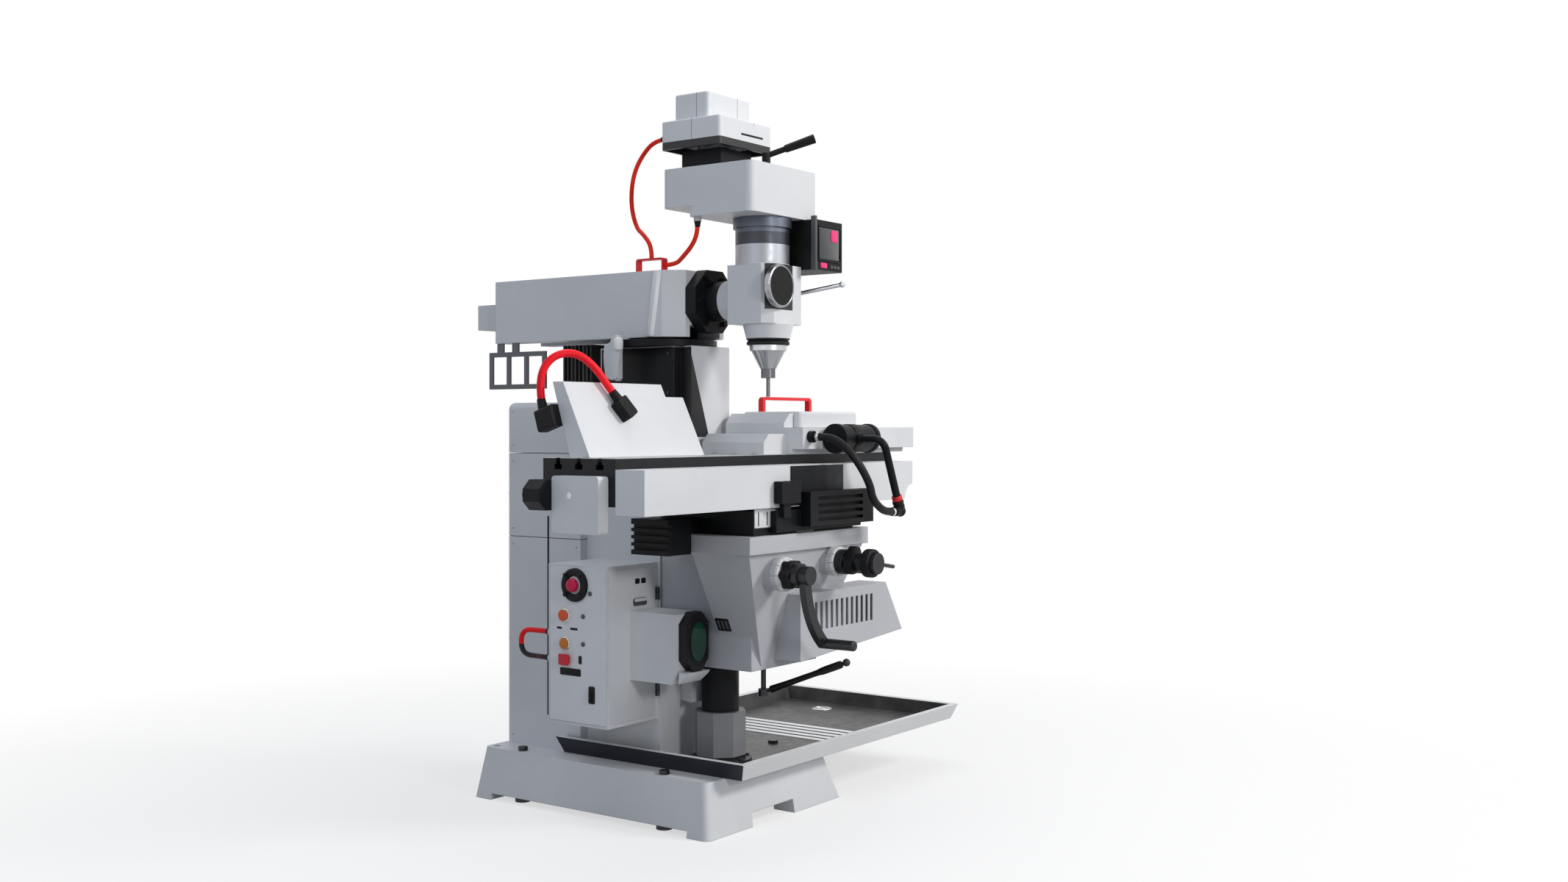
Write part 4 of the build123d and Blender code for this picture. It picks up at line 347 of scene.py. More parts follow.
def dial_mark(g, body):
    """Plain graduations round both dial rims."""
    x, y, z = g.axes()
    right_x, right_z, left_x, left_z = 0.115, 0.788, -0.165, 0.770
    fine_count, coarse_count = 100.0, 10.0
    left = g.below(x, -0.02)
    dx = g.math("SUBTRACT", x, g.span(left, 0.0, 1.0, right_x, left_x))
    dz = g.math("SUBTRACT", z, g.span(left, 0.0, 1.0, right_z, left_z))
    turn = g.math("DIVIDE", g.math("ARCTAN2", dz, dx), 2 * pi)
    far = g.math("POWER", g.math("ADD", g.math("MULTIPLY", dx, dx), g.math("MULTIPLY", dz, dz)), 0.5)
    fine = g.below(g.math("FRACT", g.math("MULTIPLY", turn, fine_count)), 0.28)
    fine = g.all_of(fine, g.above(far, 0.039), g.above(y, -0.642))
    coarse = g.below(g.math("FRACT", g.math("MULTIPLY", turn, coarse_count)), 0.045)
    coarse = g.all_of(coarse, g.above(far, 0.033))
    return g.mix(g.math("MAXIMUM", fine, coarse), body, (0.03, 0.03, 0.035))


def panel_mark(g, body):
    """An amber lamp lens in the pale control panel."""
    x, y, z = g.axes()
    lens = g.all_of(g.within(y, -0.0145, 0.0145), g.within(z, 0.5305, 0.5595), g.below(x, -0.4085))
    return g.mix(lens, body, (0.80, 0.22, 0.02))


def pedestal_mark(g, body):
    """Black foot flange under the grey pedestal."""
    return g.mix(g.below(g.axes()[2], 0.1865), body, INK)


def sink_mark(g, body):
    """Dust in the grooves of the finned block."""
    fins_per_metre = 80.0
    fins = g.math("FRACT", g.math("MULTIPLY", g.axes()[1], fins_per_metre))
    return g.mix(g.all_of(g.above(fins, 0.62), 0.8), body, (0.10, 0.085, 0.075))


def ground_table():
    """Scraped cast iron with surface-grinding lines along the table, dark on its flanks."""
    g = Graph("ground_iron")
    top_z = 1.1135
    lines = g.noise(3.0, 5.0, 0.6, g.scaled(4.0, 420.0, 420.0))
    body = g.mix(g.span(lines, 0.3, 0.7, 0.0, 1.0), (0.40, 0.41, 0.42), (0.56, 0.57, 0.58))
    blot = g.span(g.noise(9.0, 6.0, 0.65), 0.55, 0.75, 0.0, 0.4)
    body = g.mix(blot, body, (0.26, 0.25, 0.24))
    top = g.above(g.axes()[2], top_z)
    g.set(
        Base_Color=g.mix(top, (0.009, 0.0095, 0.011), body),
        Metallic=g.span(top, 0.0, 1.0, 0.0, 0.85),
        Roughness=g.span(lines, 0.25, 0.75, 0.30, 0.46),
        Normal=g.bump(lines, 0.05, 0.0004, g.soft_edge(0.0015)),
        Specular_IOR_Level=0.2,
    )
    return g.mat


def tinted_lens():
    """Deep green sight glass with a clear coat."""
    g = Graph("green_glass")
    swirl = g.span(g.noise(30.0, 3.0, 0.5), 0.3, 0.7, 0.0, 1.0)
    g.set(
        Base_Color=g.mix(swirl, (0.002, 0.034, 0.019), (0.005, 0.062, 0.034)),
        Roughness=g.span(g.noise(90.0), 0.3, 0.7, 0.06, 0.12),
        Normal=g.bump(g.noise(18.0, 2.0, 0.4), 0.05, 0.001),
        Coat_Weight=0.5,
        Coat_Roughness=0.04,
    )
    return g.mat


def dark_glass():
    """Unlit screen: near black, glossy, faint smears."""
    g = Graph("screen_glass")
    smear = g.span(g.noise(26.0, 6.0, 0.7), 0.45, 0.75, 0.0, 1.0)
    g.set(
        Base_Color=g.mix(smear, (0.006, 0.008, 0.012), (0.016, 0.018, 0.024)),
        Roughness=g.span(smear, 0.0, 1.0, 0.10, 0.24),
        Normal=g.bump(g.noise(40.0, 2.0, 0.4), 0.01, 0.001),
        Coat_Weight=0.6,
    )
    return g.mat


# The machine's materials
rough_cast = {"rough": 0.46, "peel": 0.16, "edge": 0.004}
light = paint("light_enamel", WHITE)
black = paint("black_enamel", INK, 0.40, (0.07, 0.07, 0.075), peel=0.08, shine=0.11)
cast = paint("cast_enamel", WHITE, **rough_cast)
column_paint = paint("column_enamel", WHITE, mark=column_mark, **rough_cast)
# The knee and drive box take a darker copy of the cast enamel: painted shade for the shadow that the table
# casts on them
knee_shaded_paint = paint("knee_shaded_enamel", (0.47, 0.48, 0.505), **rough_cast)
trim_paint = paint("trim_enamel", (0.93, 0.93, 0.93), 0.36)
frame_paint = paint("frame_enamel", (0.12, 0.125, 0.135), 0.45)
tray_paint = paint("tray_enamel", (0.74, 0.74, 0.75), 0.36, mark=tray_mark, shine=0.25)
head_paint = paint("head_enamel", WHITE, mark=head_mark, edge=0.003)
motor_paint = paint("motor_enamel", (0.73, 0.74, 0.755), mark=cover_mark)
panel_paint = paint("panel_enamel", (0.76, 0.77, 0.79), mark=panel_mark)
pedestal_paint = paint("pedestal_enamel", (0.23, 0.233, 0.243), worn=(0.45, 0.45, 0.46), mark=pedestal_mark)
sink_paint = paint(
    "sink_enamel", (0.030, 0.029, 0.030), 0.5, (0.12, 0.12, 0.12), 0.4, mark=sink_mark, shine=0.2,
)
dial_paint = paint("dial_enamel", (0.80, 0.80, 0.79), 0.3, mark=dial_mark, edge=0.001)
red_paint = paint("red_enamel", (0.80, 0.012, 0.020), 0.3, (0.75, 0.25, 0.24), 0.3)
steel = metal("ground_steel", (0.60, 0.61, 0.63), 0.27)
dark_steel = metal("blackened_steel", (0.045, 0.046, 0.050), 0.38, (90.0, 90.0, 90.0), 0.04)
chrome = metal("polished_chrome", (0.80, 0.80, 0.82), 0.13, (4.0, 4.0, 60.0), 0.015)
nose_steel = metal("nose_steel", (0.36, 0.365, 0.38), 0.17, (4.0, 4.0, 60.0), 0.015)
collet_steel = metal("collet_steel", (0.15, 0.152, 0.16), 0.25)
alloy = metal("turned_alloy", (0.70, 0.71, 0.72), 0.25, (20.0, 20.0, 400.0))
black_plastic = plastic("black_plastic", (0.0085, 0.0085, 0.0095), 0.48, shine=0.12)
grey_plastic = plastic("grey_plastic", (0.085, 0.088, 0.095), 0.5)
red_plastic = plastic("red_plastic", (0.66, 0.022, 0.040), 0.26, 0.03)
orange_plastic = plastic("orange_plastic", (0.80, 0.10, 0.018), 0.28, 0.03)
stop_plastic = plastic("stop_plastic", (0.62, 0.004, 0.070), 0.30, 0.03)
amber_plastic = plastic("amber_plastic", (0.66, 0.20, 0.022), 0.30, 0.03)
rose_plastic = plastic("rose_plastic", (0.88, 0.040, 0.20), 0.32, 0.03)
red_sheath = rubber("red_sheath", (0.95, 0.010, 0.022), 0.40)
orange_sheath = rubber("orange_sheath", (1.0, 0.034, 0.012), 0.40)
loop_sheath = rubber("loop_sheath", (0.88, 0.012, 0.018), 0.40, loop_mark)
black_hose = rubber("black_hose", (0.008, 0.008, 0.009), 0.45)
screen_glass = dark_glass()

# A material for each slot, and for the nodes that have one of their own
finish = {
    "light_paint": light, "black_paint": black, "bright_steel": steel, "table_steel": ground_table(),
    "dark_steel": dark_steel, "chrome": chrome, "aluminium": alloy, "red_paint": red_paint,
    "red_rubber": red_sheath, "black_rubber": black_hose, "black_plastic": black_plastic,
    "white_plastic": dial_paint, "red_plastic": red_plastic, "orange_plastic": orange_plastic,
    "green_lens": tinted_lens(),
}
special = {
    "base_casting": cast, "ram_casting": cast, "column_casting": column_paint, "rear_frame": frame_paint,
    "knee_casting": knee_shaded_paint, "drive_box": knee_shaded_paint, "chip_tray": tray_paint, "head_casting": head_paint,
    "motor_cover": motor_paint, "control_panel": panel_paint, "heat_sink": sink_paint,
    "screw_pedestal": pedestal_paint, "feed_wheel": black_plastic, "brake_lever": black_plastic,
    "quill_lever": steel, "spindle": nose_steel, "collet": collet_steel, "e_stop": stop_plastic,
}
for part in frame["record"]["subparts"]:
    coat = special.get(part["node"], finish[part["material_slot"]])
    node = nodes[part["node"]]
    node.data.materials.clear()
    node.data.materials.append(coat)


# Mesh helpers: every length of an added piece is in millimetres and is turned into metres here
def mm(*values):
    return Vector(values) * MM


def finish_mesh(name, bm):
    bmesh.ops.recalc_face_normals(bm, faces=bm.faces)
    mesh = bpy.data.meshes.new(name)
    bm.to_mesh(mesh)
    bm.free()
    return mesh


def add_piece(name, bm, body, coat):
    """A smooth-shaded piece that rides a body."""
    mesh = finish_mesh(name, bm)
    obj = bpy.data.objects.new(name, mesh)
    scene.collection.objects.link(obj)
    mesh.materials.append(coat)
    for face in mesh.polygons:
        face.use_smooth = True
    mesh.set_sharp_from_angle(angle=SHARP_ANGLE)
    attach(obj, body)


def build(name, body, slot, coat, add, items, *shared):
    """One piece made of several forms of a kind, with the values that they share."""
    bm = bmesh.new()
    for item in items:
        add(bm, *item, *shared)
    add_piece(name, bm, body, coat)


def soften(bm, edges, round_by):
    bmesh.ops.bevel(
        bm, geom=list(edges), offset=MM * round_by, segments=BEVEL_STEPS, profile=0.5, affect="EDGES",
    )


def frame_for(way):
    """Two sides at right angles to a direction, and the direction itself."""
    way = Vector(way).normalized()
    side = way.orthogonal().normalized()
    return side, way.cross(side), way


def add_ring(bm, centre, a, b, reaches):
    """A ring of points in the plane of a and b, one for each reach from the centre."""
    turns = [2 * pi * k / len(reaches) for k in range(len(reaches))]
    return [bm.verts.new(centre + (a * cos(t) + b * sin(t)) * (MM * r)) for t, r in zip(turns, reaches)]


def join_rings(bm, rings):
    """Faces from each ring to the next, which may be a single point."""
    for one, two in zip(rings, rings[1:]):
        for k in range(max(len(one), len(two))):
            corners = [one[k % len(one)], one[(k + 1) % len(one)], two[(k + 1) % len(two)], two[k % len(two)]]
            corners = list(dict.fromkeys(corners))
            if len(corners) > 2:
                bm.faces.new(corners)


def add_slab(bm, low, high, round_by):
    """A box with rounded edges."""
    made = bmesh.ops.create_cube(bm, size=1.0)["verts"]
    low, high = mm(*low), mm(*high)
    for v in made:
        v.co = Vector([a if c < 0 else b for a, b, c in zip(low, high, v.co)])
    soften(bm, dict.fromkeys(e for v in made for e in v.link_edges), round_by)


def slabs(name, body, slot, coat, boxes, round_by):
    build(name, body, slot, coat, add_slab, boxes, round_by)


def add_turned(bm, origin, way, profile, steps):
    """A turned form: profile is (radius, distance along way)."""
    a, b, w = frame_for(way)
    origin = mm(*origin)
    rings = []
    for radius, along in profile:
        centre = origin + w * (MM * along)
        rings.append(add_ring(bm, centre, a, b, [radius] * steps) if radius else [bm.verts.new(centre)])
    join_rings(bm, rings)


def turned(name, body, slot, coat, forms, steps=40):
    build(name, body, slot, coat, add_turned, forms, steps)


def add_screw(bm, place, way, radius, height):
    """A socket-head cap screw: a chamfered head with a hexagon recess."""
    a, b, w = frame_for(way)
    place = mm(*place)
    rim_radius, socket_radius = 0.88 * radius, 0.46 * radius
    shoulder, socket_floor = 0.8 * height, 0.35 * height
    turns = [2 * pi * k / SCREW_STEPS for k in range(SCREW_STEPS)]
    side, rim = [radius] * SCREW_STEPS, [rim_radius] * SCREW_STEPS
    hexagon = [socket_radius / cos((t + pi / 6) % (pi / 3) - pi / 6) for t in turns]
    levels = ((side, 0.0), (side, shoulder), (rim, height), (hexagon, height), (hexagon, socket_floor))
    rings = [add_ring(bm, place + w * (MM * along), a, b, reaches) for reaches, along in levels]
    join_rings(bm, rings)
    bm.faces.new(rings[-1])


def screws(name, body, places, way, radius, height, coat=dark_steel):
    build(name, body, "dark_steel", coat, add_screw, [(place, way) for place in places], radius, height)


def add_plate(bm, outline, place, u, v, thick, round_by):
    """A flat plate: an outline of (along u, along v) points, thickened along u x v."""
    u, v = Vector(u).normalized(), Vector(v).normalized()
    w = u.cross(v)
    place = mm(*place)
    base = bm.faces.new([bm.verts.new(place + MM * (u * p + v * q)) for p, q in outline])
    made = bmesh.ops.extrude_face_region(bm, geom=[base])["geom"]
    top = [g for g in made if isinstance(g, bmesh.types.BMVert)]
    for vert in top:
        vert.co += w * (MM * thick)
    rim = dict.fromkeys(e for vert in top for e in vert.link_edges if all(x in top for x in e.verts))
    soften(bm, rim, round_by)


def plates(name, body, slot, coat, items, round_by):
    build(name, body, slot, coat, add_plate, items, round_by)


def rounded_box(width, height, corner):
    """The outline of a box with round corners."""
    points = []
    for cx, cy, start in ((1, 1, 0.0), (-1, 1, 0.5), (-1, -1, 1.0), (1, -1, 1.5)):
        for k in range(CORNER_STEPS + 1):
            t = pi * (start + 0.5 * k / CORNER_STEPS)
            x = cx * (width / 2 - corner) + corner * cos(t)
            y = cy * (height / 2 - corner) + corner * sin(t)
            points.append((x, y))
    return points


def lobed(radius, depth, lobes, start):
    """A round outline with lobes."""
    turns = [2 * pi * k / LOBE_STEPS for k in range(LOBE_STEPS)]
    reaches = [radius + depth * cos(lobes * t - start) for t in turns]
    return [(reach * cos(t), reach * sin(t)) for reach, t in zip(reaches, turns)]


def band(inner, outer, length, fall, chamfer):
    """The profile of a ring with both outer edges broken."""
    return [
        (inner, 0), (outer - fall, 0), (outer, chamfer), (outer, length - chamfer), (outer - fall, length),
        (inner, length), (inner, 0),
    ]


def hinge(joint, length):
    """The profile of a hinge's barrel with a groove at the joint of its knuckles."""
    return [
        (0, 0), (5, 0), (6, 1), (6, joint - 1), (5.4, joint), (6, joint + 1), (6, length - 1), (5, length),
        (0, length),
    ]


def land(node, origin, way):
    """Where a ray meets a CAD node, and the surface's normal there."""
    hit, place, normal, _ = nodes[node].ray_cast(mm(*origin), Vector(way))
    if not hit:
        raise RuntimeError("no surface on " + node)
    return place * TO_MM, normal.normalized()


# Cord helpers
def route_curve(name, points, radius):
    """An open NURBS curve with the route's points as its control points."""
    data = bpy.data.curves.new(name, "CURVE")
    data.dimensions = "3D"
    spline = data.splines.new("NURBS")
    spline.points.add(len(points) - 1)
    for p, co in zip(spline.points, points):
        p.co = (*mm(*co), 1.0)
    spline.order_u = 3
    spline.use_endpoint_u = True
    data.resolution_u = 10
    data.bevel_depth = MM * radius
    data.bevel_resolution = 6
    data.use_fill_caps = True
    obj = bpy.data.objects.new(name, data)
    scene.collection.objects.link(obj)
    return obj


def spline_points(points):
    """Points along the route's spline in metres, read from a curve with no bevel."""
    probe = route_curve("probe", points, 0.0)
    bpy.context.view_layer.update()
    mesh = bpy.data.meshes.new_from_object(probe.evaluated_get(bpy.context.evaluated_depsgraph_get()))
    line = [v.co.copy() for v in mesh.vertices]
    bpy.data.objects.remove(probe)
    bpy.data.meshes.remove(mesh)
    return line


def run_length(line):
    return sum((b - a).length for a, b in zip(line, line[1:]))


def tube_mesh(name, line, radius):
    """A closed tube round a line of points, with frames carried along it."""
    bm = bmesh.new()
    side = None
    rings = []
    for k, here in enumerate(line):
        ahead = line[min(k + 1, len(line) - 1)] - line[max(k - 1, 0)]
        ahead.normalize()
        side = ahead.orthogonal() if side is None else side - ahead * side.dot(ahead)
        side.normalize()
        rings.append(add_ring(bm, here, side, ahead.cross(side), [radius] * TUBE_STEPS))
    join_rings(bm, rings)
    bm.faces.new(rings[0])
    bm.faces.new(rings[-1])
    return finish_mesh(name, bm)


# Cords: the routes of the CAD tubes
loop_route = [
    (-376, 91, 570), (-376, 150, 570), (-376, 196, 569), (-376, 216, 549), (-376, 216, 511), (-376, 196, 491),
    (-376, 150, 490), (-376, 91, 490),
]
hose_route = [
    (279, -742, 936), (235, -742, 936), (189, -744, 952), (149, -744, 982), (143, -741, 1020),
    (117, -728, 1072), (97, -700, 1122), (86, -660, 1158), (83, -618, 1168), (83, -576, 1168),
]
cable_route = [
    (-742, -237.4, 1247.4), (-742, -224.2, 1289.4), (-736, -226.2, 1359.4), (-700, -246.2, 1401.4),
    (-648, -274.2, 1405.4), (-606, -302.2, 1369.4), (-573.2, -327.1, 1309.7), (-552.6, -344, 1274.7),
]
motor_route = [
    (-90, -134, 2100), (-90, -88, 2100), (-88, -38, 2066), (-86, 2, 2014), (-85, 18, 1950), (-86, 14, 1886),
    (-89, -10, 1828), (-97, -44.5, 1806), (-100, -80.5, 1766), (-100, -80.5, 1728),
]
housing_route = [
    (-150, -306, 1823), (-150, -306, 1787), (-142, -278, 1751), (-126, -228, 1721), (-100, -180, 1704),
    (-100, -136, 1704),
]
for name, route, radius, body, node, slot, coat, stiff in (
    ("cabinet_cord", loop_route, 8.0, "column", "cabinet_cable", "red_rubber", loop_sheath, "medium"),
    ("hose_cord", hose_route, 12.0, "table", "feed_hose", "black_rubber", black_hose, "stiff"),
    ("console_cord", cable_route, 11.0, "table", "console_cable", "red_rubber", red_sheath, "stiff"),
):
    length = run_length(spline_points(route))
    curve = route_curve(name, route, radius)
    curve.data.materials.append(coat)
    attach(curve, body)
    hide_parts(node)
for name, route, node in (
    ("motor_cord", motor_route, "motor_cable"),
    ("housing_cord", housing_route, "housing_cable"),
):
    line = spline_points(route)
    cord = bpy.data.objects.new(name, tube_mesh(name, line, 7.0))
    scene.collection.objects.link(cord)
    cord.data.materials.append(orange_sheath)
    for face in cord.data.polygons:
        face.use_smooth = True
    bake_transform(cord)
    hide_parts(node)

# Black cover plates on both sides of the column's neck, and their screws
cover_x, cover_thick = 105, 3
cover = [(-172, 1166), (124, 1166), (124, 1446), (-172, 1446)]
plates("neck_covers", "column", "black_paint", black, [
    (cover, (cover_x, 0, 0), BACK, UP, cover_thick),
    ([(-y, z) for y, z in cover[::-1]], (-cover_x, 0, 0), FRONT, UP, cover_thick),
], 0.8)
for name, side in (("neck_cover_screws", -1), ("neck_cover_screws_right", 1)):
    x = side * (cover_x + cover_thick)
    spots = [(x, y, z) for y in (-155, 108) for z in (1185, 1306, 1428)]
    screws(name, "column", spots, (side, 0, 0), 5, 3.5)

# Wiper ring under the head's boss
turned("quill_wiper", "head", "black_rubber", black_hose, [
    ((0, -462, 1447), UP, [(57.8, 0), (63, 0), (66, 3), (66, 9), (63, 12), (61, 16), (57.8, 16), (57.8, 0)]),
], 56)

# Display: framed screen, mounting rib and plain coloured pads
display_y = -576.0
plates("display_screen", "head", "black_plastic", screen_glass, [
    (rounded_box(112, 96, 6), (166, display_y, 1764), RIGHT, UP, 1.2),
], 0.5)
slabs("display_frame", "head", "black_plastic", black_plastic, [
    ((left, display_y - 3, foot), (right, display_y, top)) for left, right, foot, top in (
        (104, 228, 1814, 1820), (104, 228, 1708, 1714), (104, 109, 1714, 1814), (223, 228, 1714, 1814),
    )
], 1.0)
slabs("display_rib", "head", "black_plastic", grey_plastic, [
    ((87, display_y - 2, 1679), (97, display_y + 16, 1846)),
], 1.5)
plates("display_pads", "head", "red_plastic", rose_plastic, [
    (rounded_box(36, 36, 4), (190, display_y - 1.2, 1790), RIGHT, UP, 1.2),
    (rounded_box(34, 16, 3), (134, display_y, 1696), RIGHT, UP, 1.6),
], 0.5)
plates("display_keys", "head", "black_plastic", grey_plastic, [
    (rounded_box(13, 9, 2), (x, display_y, 1694), RIGHT, UP, 2.4) for x in (176, 194, 212)
], 0.7)
spots = [(240, y, z) for y in (-560, -410) for z in (1700, 1815)]
screws("display_screws", "head", spots, RIGHT, 3.2, 2.4)

# Panel of the control box: stop guard, small lamps, plain pads, rings and a latch
panel_x = -404
stop_y, stop_z = -40, 723
turned("stop_guard", "column", "black_plastic", black_plastic, [
    ((panel_x, stop_y, stop_z), LEFT, [(28, 0), (28, 9), (31, 13), (45, 13), (50, 9), (51, 0)]),
], 48)
turns = [pi * (0.25 + 0.5 * k) for k in range(4)]
lugs = [(stop_y + 41 * cos(t), stop_z + 41 * sin(t)) for t in turns]
slabs("stop_guard_lugs", "column", "black_plastic", black_plastic, [
    ((panel_x - 19, y - 6, z - 6), (panel_x - 11, y + 6, z + 6)) for y, z in lugs
], 2.0)
turned("panel_lamps", "column", "white_plastic", grey_plastic, [
    ((panel_x, y, z), LEFT, [(7, 0), (7, 2.5), (5, 3.5), (4.6, 5), (2.5, 6.2), (0, 6.6)])
    for y, z in ((-72, 630), (-72, 547), (-100, 700))
], 24)
plates("panel_pads", "column", "black_plastic", black_plastic, [
    (rounded_box(84, 22, 3), (panel_x, -20, 460), FRONT, UP, 1.6),
    (rounded_box(11, 24, 2), (panel_x, -60, 499), FRONT, UP, 2.4),
    (rounded_box(20, 7, 2), (panel_x, 26, 590), FRONT, UP, 0.8),
    (rounded_box(30, 7, 2), (panel_x, -34, 590), FRONT, UP, 0.8),
], 0.4)
ring = [(15.2, -5), (18.5, -5), (19.5, -3), (19.5, -1), (17.5, 1.0), (15.2, 1.0), (15.2, -5)]
turned("panel_rings", "column", "dark_steel", steel, [((panel_x - 5, 0, z), LEFT, ring) for z in (630, 545)])
plates("panel_latch", "column", "black_plastic", black_plastic, [
    (rounded_box(24, 52, 5), (panel_x, -107, 398), FRONT, UP, 3.0),
    (rounded_box(10, 34, 4), (panel_x - 3, -104, 392), FRONT, UP, 5.0),
], 0.8)

# Caps on the buttons and the lamp
button_x = -415.6
turned("start_cap", "start_button", "orange_plastic", orange_plastic, [
    ((button_x, 0, 630), LEFT, [(0, 0), (14, 0), (17, 1.2), (17.4, 2.4), (16.6, 3.8), (13, 4.6), (0, 5.2)]),
])
lens = [(0, 0), (15, 0), (17, 1), (17.4, 2.4), (16.4, 4.6), (13, 6.4), (7, 7.6), (0, 8)]
turned("lamp_cap", "column", "orange_plastic", amber_plastic, [((panel_x - 7, 0, 545), LEFT, lens)])
plates("stop_cap", "stop_button", "red_plastic", red_plastic, [
    (rounded_box(40, 34, 4), (button_x, -3, 497), FRONT, UP, 4.0),
], 1.4)

# Door of the control box on its front: recessed pull, two plain pads, hinges
box_y, door_thick = -165, 2
door_y = box_y - door_thick
plates("box_door", "column", "light_paint", light, [
    (rounded_box(206, 458, 6), (-287, box_y, 541), RIGHT, UP, door_thick),
], 0.8)
plates("box_pull", "column", "dark_steel", grey_plastic, [
    (rounded_box(62, 24, 8), (-256, door_y, 668), RIGHT, UP, 2.2),
], 0.8)
plates("box_pull_lip", "column", "light_paint", light, [
    (rounded_box(54, 9, 4), (-256, door_y - 2, 674), RIGHT, UP, 5.0),
], 1.2)
plates("box_pads", "column", "black_plastic", black_plastic, [
    (rounded_box(20, 16, 2), (x, door_y, 731), RIGHT, UP, 1.4) for x in (-268, -240)
], 0.4)
turned("box_hinges", "column", "dark_steel", dark_steel, [
    ((-178, door_y - 4, z), UP, hinge(18, 38)) for z in (372, 668)
], 24)

# Lubricator: pale drip lip and bezel screws
plates("lubricator_lip", "column", "light_paint", light, [
    ([(-350, 438), (-350, 473), (-386, 473), (-378, 462)], (-293, 0, 0), BACK, UP, 104),
], 1.2)
screws("bezel_screws", "column", [(x, -380, z) for x in (-283, -199) for z in (512, 612)], FRONT, 4, 3)

# Screws in the flange at the screw pedestal's foot
spots = [(-30 + 88 * cos(t), -300 + 88 * sin(t)) for t in (0.4, 1.45, 2.5, 3.55, 4.6, 5.65)]
spots = [land("screw_pedestal", (x, y, 400), DOWN)[0] for x, y in spots]
screws("pedestal_screws", "column", spots, UP, 6, 5)

# Motor cover with one slot in front and two on the right, and the belt housing's screws on the right
plates("motor_vents", "head", "black_plastic", black_plastic, [
    (rounded_box(112, 6, 2.8), (30, -378, 2100), RIGHT, UP, 0.8),
    (rounded_box(70, 5, 2.4), (133, -256, 2104), BACK, UP, 0.8),
    (rounded_box(70, 5, 2.4), (133, -256, 2116), BACK, UP, 0.8),
], 0.3)
spots = [land("belt_housing", (400, y, z), LEFT)[0] for y in (-515, -330) for z in (1842, 1966)]
screws("housing_screws_right", "head", spots, RIGHT, 4.2, 3.2)

# Painted screws on the rear cabinet's side
heights = (190, 815, 868, 1088, 1140, 1250)
spots = [land("rear_cabinet", (-500, y, z), RIGHT)[0] for y in (148, 430) for z in heights]
screws("cabinet_screws", "column", spots, LEFT, 4, 3, light)

# Band on the drum, red ring and nut on the conduit, clamps on the hose
turned("drum_band", "table", "black_plastic", black_plastic, [
    ((212, -606, 1162), RIGHT, band(43.2, 45, 44, 0.4, 1)),
], 48)
run = Vector((91, -4, -224)).normalized()
spot = Vector((313, -742, 936)) - run * 52
turned("conduit_ring", "table", "red_paint", red_paint, [(spot, run, band(12.2, 16.5, 15.5, 1, 1.5))], 36)
nut = [
    (12.2, 0), (17.5, 0), (18, 1), (18, 9), (16, 10), (16, 14), (18, 15), (18, 24), (12.2, 26), (12.2, 0),
]
turned("conduit_nut", "table", "black_plastic", black_plastic, [(spot + run * 17, run, nut)], 12)
clamp = band(12.3, 14, 10, 0.4, 1)
turned("hose_clamps", "table", "bright_steel", steel, [
    ((272, -742, 936), LEFT, clamp), ((83, -586, 1168), FRONT, clamp),
], 32)


# Strain reliefs where the red cables leave their fittings
def add_relief(bm, place, way, radius, length):
    """A ribbed sleeve that gets thinner along a cable."""
    inner = radius + 0.2
    flare, taper, groove = 3.4, 2.4, 1.2
    profile = [(inner, 0)]
    for k in range(RELIEF_RIBS):
        at = length * k / RELIEF_RIBS
        reach = radius + flare - taper * k / RELIEF_RIBS
        profile += [
            (reach, at),
            (reach, at + 0.55 * length / RELIEF_RIBS),
            (reach - groove, at + 0.62 * length / RELIEF_RIBS),
        ]
    add_turned(bm, place, way, profile + [(inner, length), (inner, 0)], 28)


for name, body, sleeves in (
    ("console_reliefs", "table", [
        (cable_route[0], (0, 13.1, 42), 11.0, 30.0), (cable_route[-1], (-20.7, 16.8, 35), 11.0, 30.0),
    ]),
    ("head_reliefs", "head", [(motor_route[0], BACK, 7.0, 20.0), (housing_route[0], DOWN, 7.0, 18.0)]),
    ("cabinet_reliefs", "column", [(loop_route[0], BACK, 8.0, 14.0), (loop_route[-1], BACK, 8.0, 14.0)]),
):
    build(name, body, "black_plastic", black_plastic, add_relief, sleeves)

# Small vent on the slant of the knee's left side
vent_thick = 1.6
spot, slant = land("knee_casting", (-600, -432, 610), RIGHT)
up = (Vector(UP) - slant * slant.z).normalized()
across = up.cross(slant)
plates("knee_vent", "knee", "black_paint", black, [
    (rounded_box(50, 44, 4), spot, across, up, vent_thick),
], 0.5)
plates("knee_vent_slots", "knee", "black_plastic", grey_plastic, [
    (rounded_box(6, 30, 2.8), spot + across * step + slant * vent_thick, across, up, 1.2)
    for step in (-14, 0, 14)
], 0.4)

# Lobed grip on the elevating crank's hub
plates("crank_lobes", "elevating_crank", "black_plastic", black_plastic, [
    (lobed(40, 4.5, 6, 0.0), (-165, -653, 770), RIGHT, UP, 30.0),
], 2.5)

# Lobed collar and disc on the cross crank
plates("cross_lobes", "cross_crank", "black_plastic", black_plastic, [
    (lobed(40, 9, 3, 1.5 * pi), (115, -688, 788), RIGHT, UP, 26.0),
], 2.5)
disc = [(28.2, 0), (38, 0), (42, 3), (43, 7), (43, 24), (42, 28), (38, 31), (32.3, 31), (28.2, 0)]
turned("cross_disc", "cross_crank", "black_plastic", black_plastic, [((115, -744, 788), FRONT, disc)], 48)

# Bright rim on the hand wheel of the head
rim = [(64.1, 0), (65.4, 1), (65.4, 15), (64.6, 18), (62, 19.6), (59, 19.6), (58, 18.4), (64.1, 0)]
turned("wheel_rim", "feed_wheel", "bright_steel", nose_steel, [((-44, -527, 1622), FRONT, rim)], 64)
